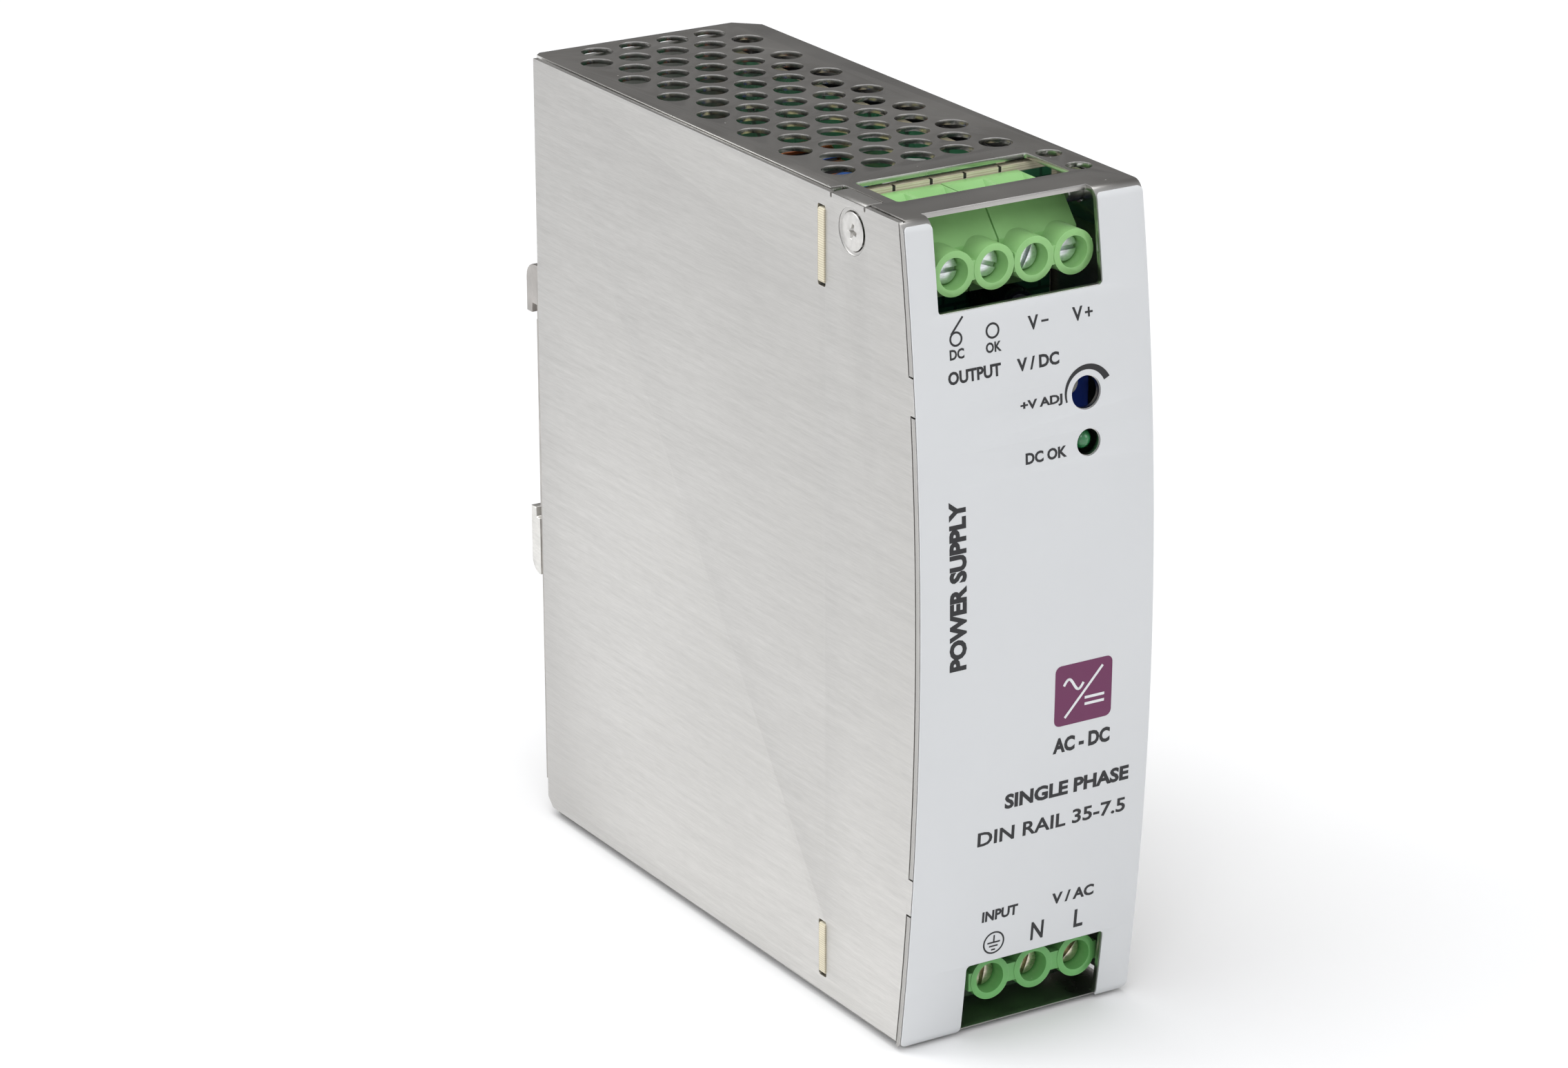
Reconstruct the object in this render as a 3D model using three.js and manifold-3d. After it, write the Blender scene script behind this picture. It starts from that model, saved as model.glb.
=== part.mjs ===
// DIN rail power supply with screw terminals, in millimetres.
// X runs across the front, +Y points back to the rail, +Z is up.
// The origin is the centre of the face that seats on the rail.
import * as THREE from 'three';
import { mergeVertices } from 'three/addons/utils/BufferGeometryUtils.js';
import Module from 'manifold-3d';

const wasm = await Module();
wasm.setup();

// ---------------------------------------------------------------- casing sizes
const casingWidth = 40;
const casingHeight = 125.2;
const casingDepth = 105.3; // front corners to the back of the rear wall
const frontBulge = 4.8; // how far the front swells past its corners
const sheet = 0.8;
const bendRadius = 2;
const gap = 0.3; // between pieces that meet
const coverTopSetback = 0.2;
const coverBottomSetback = 1.2;
const rearFlange = 8;
const bottomRearSetback = 2.2;
const cornerChamfers = [1, 3.5]; // of the top plate's rear corners, left and right
const topOverhang = 1; // of the top plate past the rear wall

// ---------------------------------------------------------------- rail fixing sizes
const railHeight = 35;
const railLip = 1;
const railClearance = 0.3;
const railCentreHeight = 67; // above the casing's underside
const bracketSheet = 1;
const seatRise = 0.2; // rail seat above the rest of the bracket
const seatHalfHeight = 15.5;
const bracketWidth = 38.4;
const hookDepth = 3; // behind the rail seat
const hookHeight = 6.4;
const toothOverlap = 1.6; // of each tooth behind the rail's lip
const hookRounding = 2.4;
const latchTravel = 4.5;
const latchNoseHeight = 9.5;
const tongueWidth = 14;
const tongueSheet = 1.2;
const tongueEnd = -65;
const guideDepth = 0.8;
const springLength = 10;
const springCoilRadius = 0.9;
const springWire = 0.5;
const springTurns = 5;

// ---------------------------------------------------------------- openings in the sheet
const holeDiameter = 5;
const holePitch = 6.7;
const holeRowPitch = 5.77;
const holeRows = 14;
const holesPerRow = 5;
const holeSides = 8;
const firstHoleRow = 6.9; // behind the front board's face
const toolHoleDiameter = 3.9;
const toolHoleSide = 16.7;
const toolHoleDepths = [10.75, 18.3];
const wireSlotStart = 8.9; // behind the front corners
const wireSlotPastBoard = 0.1;
const windowReturn = 2.5; // how far a front window runs into the top or bottom plate
const outputWindowReach = [0.8, -0.6]; // past the left and right ends of the terminal blocks
const outputSlotReach = [0.5, 1.2];
const inputWindowReach = [1.8, -1.2];
const outputWindowDrop = 13.5; // below the casing's top
const inputWindowRise = 11.5; // above the casing's underside
const adjustHole = { x: 8.6, height: 96.7, diameter: 4.8 };
const lightHole = { x: 8.8, height: 89.4, diameter: 3.85 };
const tabHeights = [[22.4, 27.9], [98, 103.4]]; // the cover's tabs in the front sheet
const foldedTab = { width: 3, depths: [10, 18.3], notchLength: 10.6 };
const filmSheet = 0.2;
const filmGap = 0.1;
const filmMargin = 0.15; // at the casing's sides and around the windows
const filmWrap = { top: 30, bottom: 48 }; // degrees that the film follows each bend

// ---------------------------------------------------------------- screws of the covers
const coverScrew = {
  depth: 13,
  drop: 4.5,
  headRadius: 2.5,
  shankRadius: 1.4,
  headHeight: 1.1,
  clearance: 1,
};
const crossRecess = { length: 2.8, width: 0.6, depth: 0.8 };
const earLength = 17;
const earHeight = 7.3;

// ---------------------------------------------------------------- boards
const boardSheet = 1.6;
const boardClearance = 0.5;
const frontBoardDepth = 20.2; // its front face, behind the front corners
const boardTabHeights = [[4.2, 12.2], [111.2, 122.2]];
const tabProud = 0.15;
const mainBoardSetback = 6.6; // its component face, inside the right wall's outer face
const boardJoint = 1.2; // front board's back to the main board's edge
const mainBoardRearSetback = 1.5;
const filmInsulation = 0.3;
const insulationSetback = 2.1;
const spacerRadius = 2.75;
const spacerInset = 8; // from the main board's rear edge
const spacerEnds = 6.9; // from its lower and upper edges

// ---------------------------------------------------------------- terminals
const outputPitch = 6.7;
const inputPitch = 7.62;
const outputCentre = -0.9;
const inputCentre = 3.9;
const outputScrewDrop = 9; // below the casing's top
const inputScrewRise = 7.3; // above the casing's underside
const blockSeam = 0.3;
const blockDepth = 16.9; // front board to the body's face
const wellDepth = 19.4; // front board to the wells' rims
const wellOuterRadius = 3.2;
const wellRadius = 2.25;
const headRadius = 1.95;
const headThickness = 1.8;
const shankRadius = 1.25;
const slotWidth = 0.6;
const slotDepth = 0.8;
const shoulder = 15.1; // front board to the ledge under the screw head
const chamberFront = 12.6;
const chamberRear = 3.4;
const chamberHalf = 2.6;
const entryHalf = 1.8;
const entryDepths = [6.5, 10.1];
const cageFront = 12.2;
const cageLength = 6.4;
const cageWall = 0.8;
const cageThreadWall = 2;
const cageHalf = 2.3;
const cageHeight = 4.6;
const outputToEntry = 5.6; // screw axis to the face that the wires enter
const inputToEntry = 4.5;
const blockToFoot = 7.2;
const footDepth = 8; // front board to the front of a block's foot
const bodyUnderside = 3.4; // screw axis to the body's far side, in front of the foot
const blockLip = 2.7; // screw axis to the start of the slope
const slopeRun = 6;

// ================================================================ derived places
const left = -casingWidth / 2;
const right = casingWidth / 2;
const bottom = -railCentreHeight;
const top = bottom + casingHeight;
const middle = (top + bottom) / 2;
const rear = -(bracketSheet + gap);
const front = rear - casingDepth;
const inside = sheet + gap; // casing face to a piece that lies against the sheet
const frontRadius = (casingHeight / 2) ** 2 / (2 * frontBulge) + frontBulge / 2;
const arcCentre = front - frontBulge + frontRadius;
const mainBoardFace = right - mainBoardSetback;
const room = mainBoardFace - left - sheet - 2; // free height over the main board
const boardBack = frontBoardDepth + boardSheet;
const wireSlot = [wireSlotStart, frontBoardDepth + wireSlotPastBoard];

const behindFront = (depth) => front + depth;
const aboveBottom = (height) => bottom + height;
const frontFace = (z, inset = 0) => arcCentre - Math.sqrt((frontRadius - inset) ** 2 - (z - middle) ** 2);

// ================================================================ shape helpers
const toSolid = (geometry) => {
  const bare = geometry.clone();
  bare.deleteAttribute('normal');
  bare.deleteAttribute('uv');
  const merged = mergeVertices(bare, 1e-5);
  return new wasm.Manifold(new wasm.Mesh({
    numProp: 3,
    vertProperties: Float32Array.from(merged.attributes.position.array),
    triVerts: Uint32Array.from(merged.index.array),
  }));
};

const toGeometry = (solid) => {
  const mesh = solid.getMesh();
  const geometry = new THREE.BufferGeometry();
  geometry.setAttribute('position', new THREE.BufferAttribute(new Float32Array(mesh.vertProperties), 3));
  geometry.setIndex(new THREE.BufferAttribute(new Uint32Array(mesh.triVerts), 1));
  return geometry;
};

const join = (first, ...others) => (
  others.reduce((solid, other) => solid.add(toSolid(other)), toSolid(first)));
const cut = (solid, tools) => tools.reduce((rest, tool) => rest.subtract(toSolid(tool)), solid);

const box = (x, y, z) => {
  const geometry = new THREE.BoxGeometry(x[1] - x[0], y[1] - y[0], z[1] - z[0]);
  return geometry.translate((x[0] + x[1]) / 2, (y[0] + y[1]) / 2, (z[0] + z[1]) / 2);
};

// An outline extruded along x, y or z. Its points are [y, z], [x, z] or [x, y].
const alongAxis = {
  x: new THREE.Matrix4().set(0, 0, 1, 0, 1, 0, 0, 0, 0, 1, 0, 0, 0, 0, 0, 1),
  y: new THREE.Matrix4().set(1, 0, 0, 0, 0, 0, -1, 0, 0, 1, 0, 0, 0, 0, 0, 1),
  z: new THREE.Matrix4(),
};

const prism = (axis, points, span, holes = []) => {
  const toVectors = (list) => list.map(([u, v]) => new THREE.Vector2(u, v));
  const shape = new THREE.Shape(toVectors(points));
  shape.holes = holes.map((hole) => new THREE.Path(toVectors(hole)));
  const geometry = new THREE.ExtrudeGeometry(shape, { depth: span[1] - span[0], bevelEnabled: false });
  geometry.applyMatrix4(alongAxis[axis]);
  const start = { x: [span[0], 0, 0], y: [0, span[1], 0], z: [0, 0, span[0]] }[axis];
  return geometry.translate(...start);
};

const circle = (centre, radius, sides = 16) => Array.from({ length: sides }, (_, i) => {
  const angle = (2 * Math.PI * (i + 0.5)) / sides;
  return [centre[0] + radius * Math.cos(angle), centre[1] + radius * Math.sin(angle)];
});

const rectangle = (u, v) => [[u[0], v[0]], [u[1], v[0]], [u[1], v[1]], [u[0], v[1]]];

const arc = (centre, radius, from, to, steps) => Array.from({ length: steps + 1 }, (_, i) => {
  const angle = from + ((to - from) * i) / steps;
  return [centre[0] + radius * Math.cos(angle), centre[1] + radius * Math.sin(angle)];
});

// A turned shape. Its profile is [radius, distance along the axis] and starts and ends on the axis.
const turned = (axis, profile, at = [0, 0, 0], sides = 16) => {
  const geometry = new THREE.LatheGeometry(profile.map(([r, d]) => new THREE.Vector2(r, d)), sides);
  if (axis === 'x') geometry.rotateZ(-Math.PI / 2);
  if (axis === 'z') geometry.rotateX(Math.PI / 2);
  return geometry.translate(...at);
};

const rod = (axis, radius, span, at, sides = 16) => {
  const profile = [[0, span[0]], [radius, span[0]], [radius, span[1]], [0, span[1]]];
  return turned(axis, profile, at, sides);
};

const casing = new THREE.Group();

const addPiece = (parent, name, shape, finish, position = [0, 0, 0], rotation = [0, 0, 0]) => {
  const geometry = shape.isBufferGeometry ? shape : toGeometry(shape);
  const mesh = new THREE.Mesh(geometry, new THREE.MeshStandardMaterial(finish));
  mesh.name = name;
  mesh.position.set(...position);
  mesh.rotation.set(...rotation);
  parent.add(mesh);
};

const finishes = {
  brushedSteel: { color: 0xc9c6c1, roughness: 0.38, metalness: 1 },
  darkSteel: { color: 0x6f6c69, roughness: 0.32, metalness: 1 },
  film: { color: 0xd5d7d9, roughness: 0.55, metalness: 0 },
  zinc: { color: 0xb9b9b4, roughness: 0.35, metalness: 1 },
  nickel: { color: 0xc4c0b8, roughness: 0.25, metalness: 1 },
  outputGreen: { color: 0x74b964, roughness: 0.45, metalness: 0 },
  inputGreen: { color: 0x55a052, roughness: 0.45, metalness: 0 },
  laminate: { color: 0xcfc08c, roughness: 0.6, metalness: 0 },
  boardGreen: { color: 0x1f4a2c, roughness: 0.4, metalness: 0 },
  insulation: { color: 0x1b1b1c, roughness: 0.5, metalness: 0 },
  blackPlastic: { color: 0x17181a, roughness: 0.4, metalness: 0 },
  whitePlastic: { color: 0xd9d6cc, roughness: 0.5, metalness: 0 },
  bluePlastic: { color: 0x1d3f8f, roughness: 0.4, metalness: 0 },
  blueCoating: { color: 0x2f62b5, roughness: 0.35, metalness: 0 },
  yellowTape: { color: 0xd9c878, roughness: 0.5, metalness: 0 },
  ferrite: { color: 0x2b2b2d, roughness: 0.6, metalness: 0 },
  aluminium: { color: 0xb4b6b8, roughness: 0.4, metalness: 1 },
  sleeve: { color: 0x22252c, roughness: 0.35, metalness: 0 },
  copper: { color: 0xb46a3a, roughness: 0.35, metalness: 1 },
  ceramic: { color: 0xe2ddd0, roughness: 0.4, metalness: 0 },
  greenLens: { color: 0x8fd39a, roughness: 0.15, metalness: 0 },
  yellowBox: { color: 0xd2a527, roughness: 0.45, metalness: 0 },
};

// ================================================================ casing sheets
const bendZ = top - bendRadius;
const bendY = arcCentre - Math.sqrt((frontRadius - bendRadius) ** 2 - (bendZ - middle) ** 2);
const bendEnd = Math.atan2(bendZ - middle, bendY - arcCentre);

// The casing's side view from its rear top edge, over the front, to its rear bottom edge.
const casingPath = (inset, topEnd, bottomEnd) => [
  [topEnd, top - inset],
  ...arc([bendY, bendZ], bendRadius - inset, Math.PI / 2, bendEnd, 4),
  ...arc([arcCentre, middle], frontRadius - inset, bendEnd, 2 * Math.PI - bendEnd, 16).slice(1),
  ...arc([bendY, 2 * middle - bendZ], bendRadius - inset, 2 * Math.PI - bendEnd, 1.5 * Math.PI, 4).slice(1),
  [bottomEnd, bottom + inset],
];

// The front curve alone, carried past the top and the underside by spill.
const frontCurve = (inset, spill) => {
  const radius = frontRadius - inset;
  const half = Math.asin((casingHeight / 2 + spill) / radius);
  return arc([arcCentre, middle], radius, Math.PI - half, Math.PI + half, 16);
};

const outputPoles = [-1.5, -0.5, 0.5, 1.5].map((place) => outputCentre + place * outputPitch);
const inputPoles = [-1, 0, 1].map((place) => inputCentre + place * inputPitch);
const blockHalf = (poles, pitch) => (poles * pitch) / 2 + blockSeam;
const windowFor = (centre, half, reach) => [centre - half - reach[0], centre + half + reach[1]];
const outputWindow = windowFor(outputCentre, blockHalf(4, outputPitch), outputWindowReach);
const outputSlot = windowFor(outputCentre, blockHalf(4, outputPitch), outputSlotReach);
const inputWindow = windowFor(inputCentre, blockHalf(3, inputPitch), inputWindowReach);
const plateHalf = casingWidth / 2 - inside;
const blockEnds = [-1, 1].map((s) => outputCentre + s * blockHalf(4, outputPitch));
const screwLength = Math.min(blockEnds[0] - left, right - blockEnds[1]) - coverScrew.clearance;

const perforation = () => {
  const tools = [];
  for (let row = 0; row < holeRows; row += 1) {
    const count = holesPerRow - (row % 2);
    for (let i = 0; i < count; i += 1) {
      const x = (i - (count - 1) / 2) * holePitch;
      const y = behindFront(frontBoardDepth + firstHoleRow + row * holeRowPitch);
      tools.push(prism('z', circle([x, y], holeDiameter / 2, holeSides), [bottom - 1, top + 1]));
    }
  }
  return tools;
};

const makeWrap = () => {
  const topEnd = rear + topOverhang;
  const outer = casingPath(0, topEnd, rear - bottomRearSetback);
  const inner = casingPath(sheet, topEnd, rear - bottomRearSetback).reverse();
  const bent = toSolid(prism('x', [...outer, ...inner], [left, right]));
  const ears = [-1, 1].map((side) => {
    const x = [side * plateHalf, side * (plateHalf - sheet)].sort((a, b) => a - b);
    const z = [top - inside - earHeight, top - inside];
    return box(x, [frontFace(z[1]) + sheet / 2, behindFront(earLength)], z);
  });
  const behindSheet = [...frontCurve(sheet, 2), [rear + 5, bottom - 2], [rear + 5, top + 2]];
  const lowerHalf = [...behindSheet.filter(([, z]) => z < middle), [rear + 5, middle]];
  const sideCuts = [
    prism('x', behindSheet, [left - 1, -plateHalf]),
    prism('x', lowerHalf, [plateHalf, right + 1]),
  ];
  const plateEdges = [-plateHalf, right];
  const chamfers = plateEdges.map((edge, i) => {
    const side = Math.sign(edge);
    const size = cornerChamfers[i];
    const corner = [
      [edge - side * size, topEnd + 1], [edge + side, topEnd + 1], [edge + side, topEnd - size],
      [edge, topEnd - size], [edge - side * size, topEnd],
    ];
    return prism('z', corner, [top - 2, top + 1]);
  });
  const tabNotches = tabHeights.flatMap(([low, high]) => [[left - 1, -plateHalf], [plateHalf, right + 1]]
    .map((x) => box(x, [front - 9, front + 9], [aboveBottom(low - gap), aboveBottom(high + gap)])));
  const foldNotch = box(
    [-plateHalf - 1, left + foldedTab.width + gap],
    [foldedTab.depths[0] - gap, foldedTab.depths[0] - gap + foldedTab.notchLength].map(behindFront),
    [top - 1, top + 1],
  );
  const windows = [
    box(outputWindow, [front - 9, behindFront(windowReturn)], [top - outputWindowDrop, top + 1]),
    box(outputSlot, wireSlot.map(behindFront), [top - 3, top + 1]),
    box(
      inputWindow,
      [front - 9, behindFront(windowReturn)],
      [bottom + sheet, aboveBottom(inputWindowRise)],
    ),
    box(inputWindow, wireSlot.map(behindFront), [bottom - 1, bottom + 3]),
  ];
  const drilled = [adjustHole, lightHole].map(({ x, height, diameter }) => (
    rod('y', diameter / 2, [front - 9, front + 3], [x, 0, aboveBottom(height)])));
  const toolHoles = toolHoleDepths.map((depth) => (
    rod('z', toolHoleDiameter / 2, [top - 2, top + 1], [toolHoleSide, behindFront(depth), 0])));
  const screwHoles = [-1, 1].map((side) => rod('x', coverScrew.shankRadius + gap,
    [side > 0 ? plateHalf - 2 : -plateHalf - 1, side > 0 ? plateHalf + 1 : -plateHalf + 2],
    [0, behindFront(coverScrew.depth), top - coverScrew.drop]));
  const plates = cut(bent, sideCuts);
  const openings = [...tabNotches, foldNotch, ...windows, ...drilled, ...toolHoles, ...screwHoles];
  const eared = ears.reduce((solid, ear) => solid.add(toSolid(ear)), plates);
  return cut(eared, [...perforation(), ...chamfers, ...openings]);
};
addPiece(casing, 'face_wrap', makeWrap(), finishes.darkSteel);

// A flat side: its front edge follows the curve behind the front sheet, and two tabs reach the face.
// The curve ends curveDrop below the top, and topEdge closes the outline from the rear to there.
const makeSide = (span, outward, rearEdge, curveDrop, topEdge) => {
  const curve = frontCurve(inside, -curveDrop).filter(([, z]) => z > bottom + coverBottomSetback);
  const outline = [
    ...curve,
    [frontFace(bottom + coverBottomSetback, inside), bottom + coverBottomSetback],
    [rearEdge - 1.5, bottom + coverBottomSetback],
    [rearEdge, bottom + coverBottomSetback + 1.5],
    ...topEdge,
  ];
  const whole = toSolid(prism('x', [...frontCurve(0, 0), [rear, bottom], [rear, top]], span));
  const tabs = tabHeights.map(([low, high]) => whole.intersect(
    toSolid(box([left - 1, right + 1], [front - 9, front + 4], [aboveBottom(low), aboveBottom(high)]))));
  const slots = boardTabHeights.map(([low, high]) => box(
    [span[0] - 1, span[1] + 1],
    [behindFront(frontBoardDepth) - boardClearance / 2,
      behindFront(frontBoardDepth + boardSheet) + boardClearance / 2],
    [aboveBottom(low) - boardClearance, aboveBottom(high) + boardClearance],
  ));
  const outer = outward > 0 ? span[1] : span[0];
  const mouth = coverScrew.headRadius + gap;
  const throat = coverScrew.shankRadius + 2 * gap;
  const profile = [[0, 1], [mouth, 1], [mouth, 0], [throat, -coverScrew.headHeight], [throat, -2], [0, -2]]
    .map(([r, out]) => [r, outer + outward * out]);
  const countersink = turned('x', outward > 0 ? profile.reverse() : profile,
    [0, behindFront(coverScrew.depth), top - coverScrew.drop]);
  const plate = tabs.reduce((solid, tab) => solid.add(tab), toSolid(prism('x', outline, span)));
  return cut(plate, [...slots, countersink]);
};

const makeSideCover = () => {
  const rearEdge = rear - sheet;
  const fold = box(
    [left, left + foldedTab.width],
    foldedTab.depths.map(behindFront),
    [top - sheet, top],
  );
  const topEdge = [[rearEdge, top - coverTopSetback]];
  return makeSide([left, left + sheet], -1, rearEdge, coverTopSetback, topEdge).add(toSolid(fold));
};
addPiece(casing, 'side_cover', makeSideCover(), finishes.brushedSteel);

const makeChassis = () => {
  const wallSpan = [right - sheet, right];
  const wallHeights = [bottom + coverBottomSetback, top - inside];
  const rearWall = box([-plateHalf, right], [rear - sheet, rear], wallHeights);
  const flange = box([-plateHalf, -plateHalf + sheet], [rear - rearFlange, rear], wallHeights);
  const topEdge = [[rear, top - inside], [bendY, top - inside]];
  const wall = makeSide(wallSpan, 1, rear, bendRadius, topEdge);
  return wall.add(toSolid(rearWall)).add(toSolid(flange));
};
addPiece(casing, 'chassis', makeChassis(), finishes.brushedSteel);

// The film follows the front sheet and part of both bends.
const makeLabel = () => {
  const [overTop, underBottom] = [filmWrap.top, filmWrap.bottom].map(THREE.MathUtils.degToRad);
  const lowBend = 2 * Math.PI - bendEnd;
  const path = (lift) => [
    ...arc([bendY, bendZ], bendRadius + lift, bendEnd - overTop, bendEnd, 3),
    ...arc([arcCentre, middle], frontRadius + lift, bendEnd, lowBend, 16).slice(1),
    ...arc([bendY, 2 * middle - bendZ], bendRadius + lift, lowBend, lowBend + underBottom, 4).slice(1),
  ];
  const outline = [...path(filmGap + filmSheet), ...path(filmGap).reverse()];
  const film = toSolid(prism('x', outline, [left + filmMargin, right - filmMargin]));
  const y = [front - 9, front + 9];
  const window = ([low, high]) => [low - filmMargin, high + filmMargin];
  return cut(film, [
    box(window(outputWindow), y, [top - outputWindowDrop - filmMargin, top + 1]),
    box(window(inputWindow), y, [bottom - 1, aboveBottom(inputWindowRise) + filmMargin]),
    ...[adjustHole, lightHole].map(({ x, height, diameter }) => (
      rod('y', diameter / 2 + 0.1, [front - 9, front + 3], [x, 0, aboveBottom(height)]))),
  ]);
};
addPiece(casing, 'front_label', makeLabel(), finishes.film);

// ================================================================ cover screws
const makeCoverScrew = () => {
  const body = toSolid(turned('z', [
    [0, 0], [coverScrew.shankRadius, 0], [coverScrew.shankRadius, screwLength - coverScrew.headHeight],
    [coverScrew.headRadius, screwLength], [0, screwLength],
  ]));
  const half = [crossRecess.length / 2, crossRecess.width / 2];
  const depths = [screwLength - crossRecess.depth, screwLength + 1];
  return cut(body, [
    box([-half[0], half[0]], [-half[1], half[1]], depths),
    box([-half[1], half[1]], [-half[0], half[0]], depths),
  ]);
};
for (const [name, side] of [['cover_screw_left', -1], ['cover_screw_right', 1]]) {
  const x = side * (casingWidth / 2 - screwLength);
  const place = [x, behindFront(coverScrew.depth), top - coverScrew.drop];
  addPiece(casing, name, makeCoverScrew(), finishes.zinc, place, [0, (side * Math.PI) / 2, 0]);
}

// ================================================================ boards
// In this group x and y follow the board's face and z points to the front.
const frontBoard = new THREE.Group();
frontBoard.position.set(0, behindFront(frontBoardDepth), bottom);
frontBoard.rotation.x = Math.PI / 2;
casing.add(frontBoard);

// In this group x points up, y points to the rear and z points away from the main board's face.
// Its origin is level with the casing's underside, at the front board's back.
const mainBoard = new THREE.Group();
mainBoard.position.set(mainBoardFace, behindFront(boardBack), bottom);
mainBoard.rotation.y = -Math.PI / 2;
casing.add(mainBoard);

const makeFrontBoard = () => {
  const half = plateHalf - gap;
  const tabHalf = casingWidth / 2 + tabProud;
  const edge = [inside + gap, casingHeight - inside - gap];
  const tabs = boardTabHeights.map((heights) => box([-tabHalf, tabHalf], heights, [-boardSheet, 0]));
  return join(box([-half, half], edge, [-boardSheet, 0]), ...tabs);
};
addPiece(frontBoard, 'front_board', makeFrontBoard(), finishes.laminate);

const mainBoardEdge = [inside + 2, casingHeight - inside - 2];
const wallDepth = casingDepth - sheet - boardBack; // front board's back to the rear wall's inner face
const mainBoardDepths = [boardJoint, wallDepth - mainBoardRearSetback];
const spacerPlaces = [mainBoardEdge[0] + spacerEnds, mainBoardEdge[1] - spacerEnds]
  .map((height) => [height, mainBoardDepths[1] - spacerInset]);
const mainBoardShape = box(mainBoardEdge, mainBoardDepths, [-boardSheet, 0]);
addPiece(mainBoard, 'main_board', mainBoardShape, finishes.boardGreen);

const makeInsulation = () => {
  const holes = spacerPlaces.map((place) => circle(place, spacerRadius + gap, 12));
  const low = mainBoardSetback - insulationSetback;
  const outline = rectangle(mainBoardEdge, [mainBoardDepths[0] + 1, mainBoardDepths[1] - 1]);
  return prism('z', outline, [-low, -low + filmInsulation], holes);
};
addPiece(mainBoard, 'insulation_sheet', makeInsulation(), finishes.insulation);

for (const [i, [height, depth]] of spacerPlaces.entries()) {
  const length = [-(mainBoardSetback - inside), -(boardSheet + gap)];
  const spacer = rod('z', spacerRadius, length, [0, 0, 0], 6);
  addPiece(mainBoard, `board_spacer_${i + 1}`, spacer, finishes.nickel, [height, depth, 0]);
}

// ================================================================ terminals
// A block's own frame: x along the poles from its centre, y from the screw axis, z from the board.
const makeBlock = (poles, pitch, count, entry, toEntry) => {
  const half = (count * pitch) / 2 - blockSeam / 2;
  const outline = [
    [0, -blockToFoot], [footDepth, -blockToFoot], [footDepth, -bodyUnderside],
    [blockDepth, -bodyUnderside], [blockDepth, blockLip],
    [blockDepth - slopeRun, toEntry], [0, toEntry],
  ].map(([z, y]) => [y * entry, z + gap * (z === 0)]);
  const rims = poles.map((x) => rod('z', wellOuterRadius, [chamberFront + 1, wellDepth], [x, 0, 0]));
  const body = join(prism('x', outline, [-half, half]), ...rims);
  const spanY = (low, high) => (entry > 0 ? [low, high] : [-high, -low]);
  return cut(body, poles.flatMap((x) => [
    rod('z', wellRadius, [shoulder, wellDepth + 1], [x, 0, 0]),
    rod('z', shankRadius + gap, [chamberFront - 1, shoulder + 1], [x, 0, 0], 12),
    box([x - chamberHalf, x + chamberHalf], [-chamberHalf, chamberHalf], [chamberRear, chamberFront]),
    box([x - entryHalf, x + entryHalf], spanY(0, toEntry + 1), entryDepths),
  ]));
};

const makeTerminalScrew = () => {
  const under = shoulder + gap;
  const face = under + headThickness;
  const tip = chamberFront - 3.2;
  const profile = [
    [0, tip], [shankRadius, tip], [shankRadius, under], [headRadius, under], [headRadius, face], [0, face],
  ];
  const slot = box(
    [-headRadius - 1, headRadius + 1],
    [-slotWidth / 2, slotWidth / 2],
    [face - slotDepth, face + 1],
  );
  return cut(toSolid(turned('z', profile)), [slot]);
};

const makeCage = () => {
  const opening = rectangle([-cageHalf + cageWall, cageHalf - cageWall],
    [cageFront - cageLength + cageWall, cageFront - cageThreadWall]);
  const ring = rectangle([-cageHalf, cageHalf], [cageFront - cageLength, cageFront]);
  const body = toSolid(prism('y', ring, [-cageHeight / 2, cageHeight / 2], [opening]));
  const screwHole = [cageFront - cageThreadWall - 0.1, cageFront + 1];
  return cut(body, [rod('z', shankRadius + gap, screwHole, [0, 0, 0], 12)]);
};

const slotAngles = [0, -20, 65, 0, 80, 70, 45];
const outputHeight = casingHeight - outputScrewDrop;
const modulePoles = [-outputPitch / 2, outputPitch / 2];
for (const [name, side] of [['output_block_left', -1], ['output_block_right', 1]]) {
  const block = makeBlock(modulePoles, outputPitch, 2, 1, outputToEntry);
  const x = outputCentre + side * outputPitch;
  addPiece(frontBoard, name, block, finishes.outputGreen, [x, outputHeight, 0]);
}
const inputBlock = makeBlock(inputPoles.map((x) => x - inputCentre), inputPitch, 3, -1, inputToEntry);
addPiece(frontBoard, 'input_block', inputBlock, finishes.inputGreen, [inputCentre, inputScrewRise, 0]);

const poles = [
  ...outputPoles.map((x) => [x, outputHeight]),
  ...inputPoles.map((x) => [x, inputScrewRise]),
];
for (const [i, [x, height]] of poles.entries()) {
  const turn = THREE.MathUtils.degToRad(slotAngles[i]);
  const screw = makeTerminalScrew();
  addPiece(frontBoard, `terminal_screw_${i + 1}`, screw, finishes.zinc, [x, height, 0], [0, 0, turn]);
  addPiece(frontBoard, `clamp_cage_${i + 1}`, makeCage(), finishes.nickel, [x, height, 0]);
}

// ================================================================ adjuster, light and relay
const trimmer = { half: 4.5, height: 18.2, rotorRadius: 1.8, rotorHeight: 0.9, slotDepth: 0.5 };
const light = { radius: 1.5, flangeRadius: 1.9, flange: 1, length: 5, spacerRadius: 2.3, spacer: 18.4 };
const relay = { x: [-16, -3.5], heights: [83, 103], height: 10 };

addPiece(frontBoard, 'trimmer_body', box([-trimmer.half, trimmer.half], [-trimmer.half, trimmer.half],
  [gap, trimmer.height]), finishes.bluePlastic, [adjustHole.x, adjustHole.height, 0]);

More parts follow.
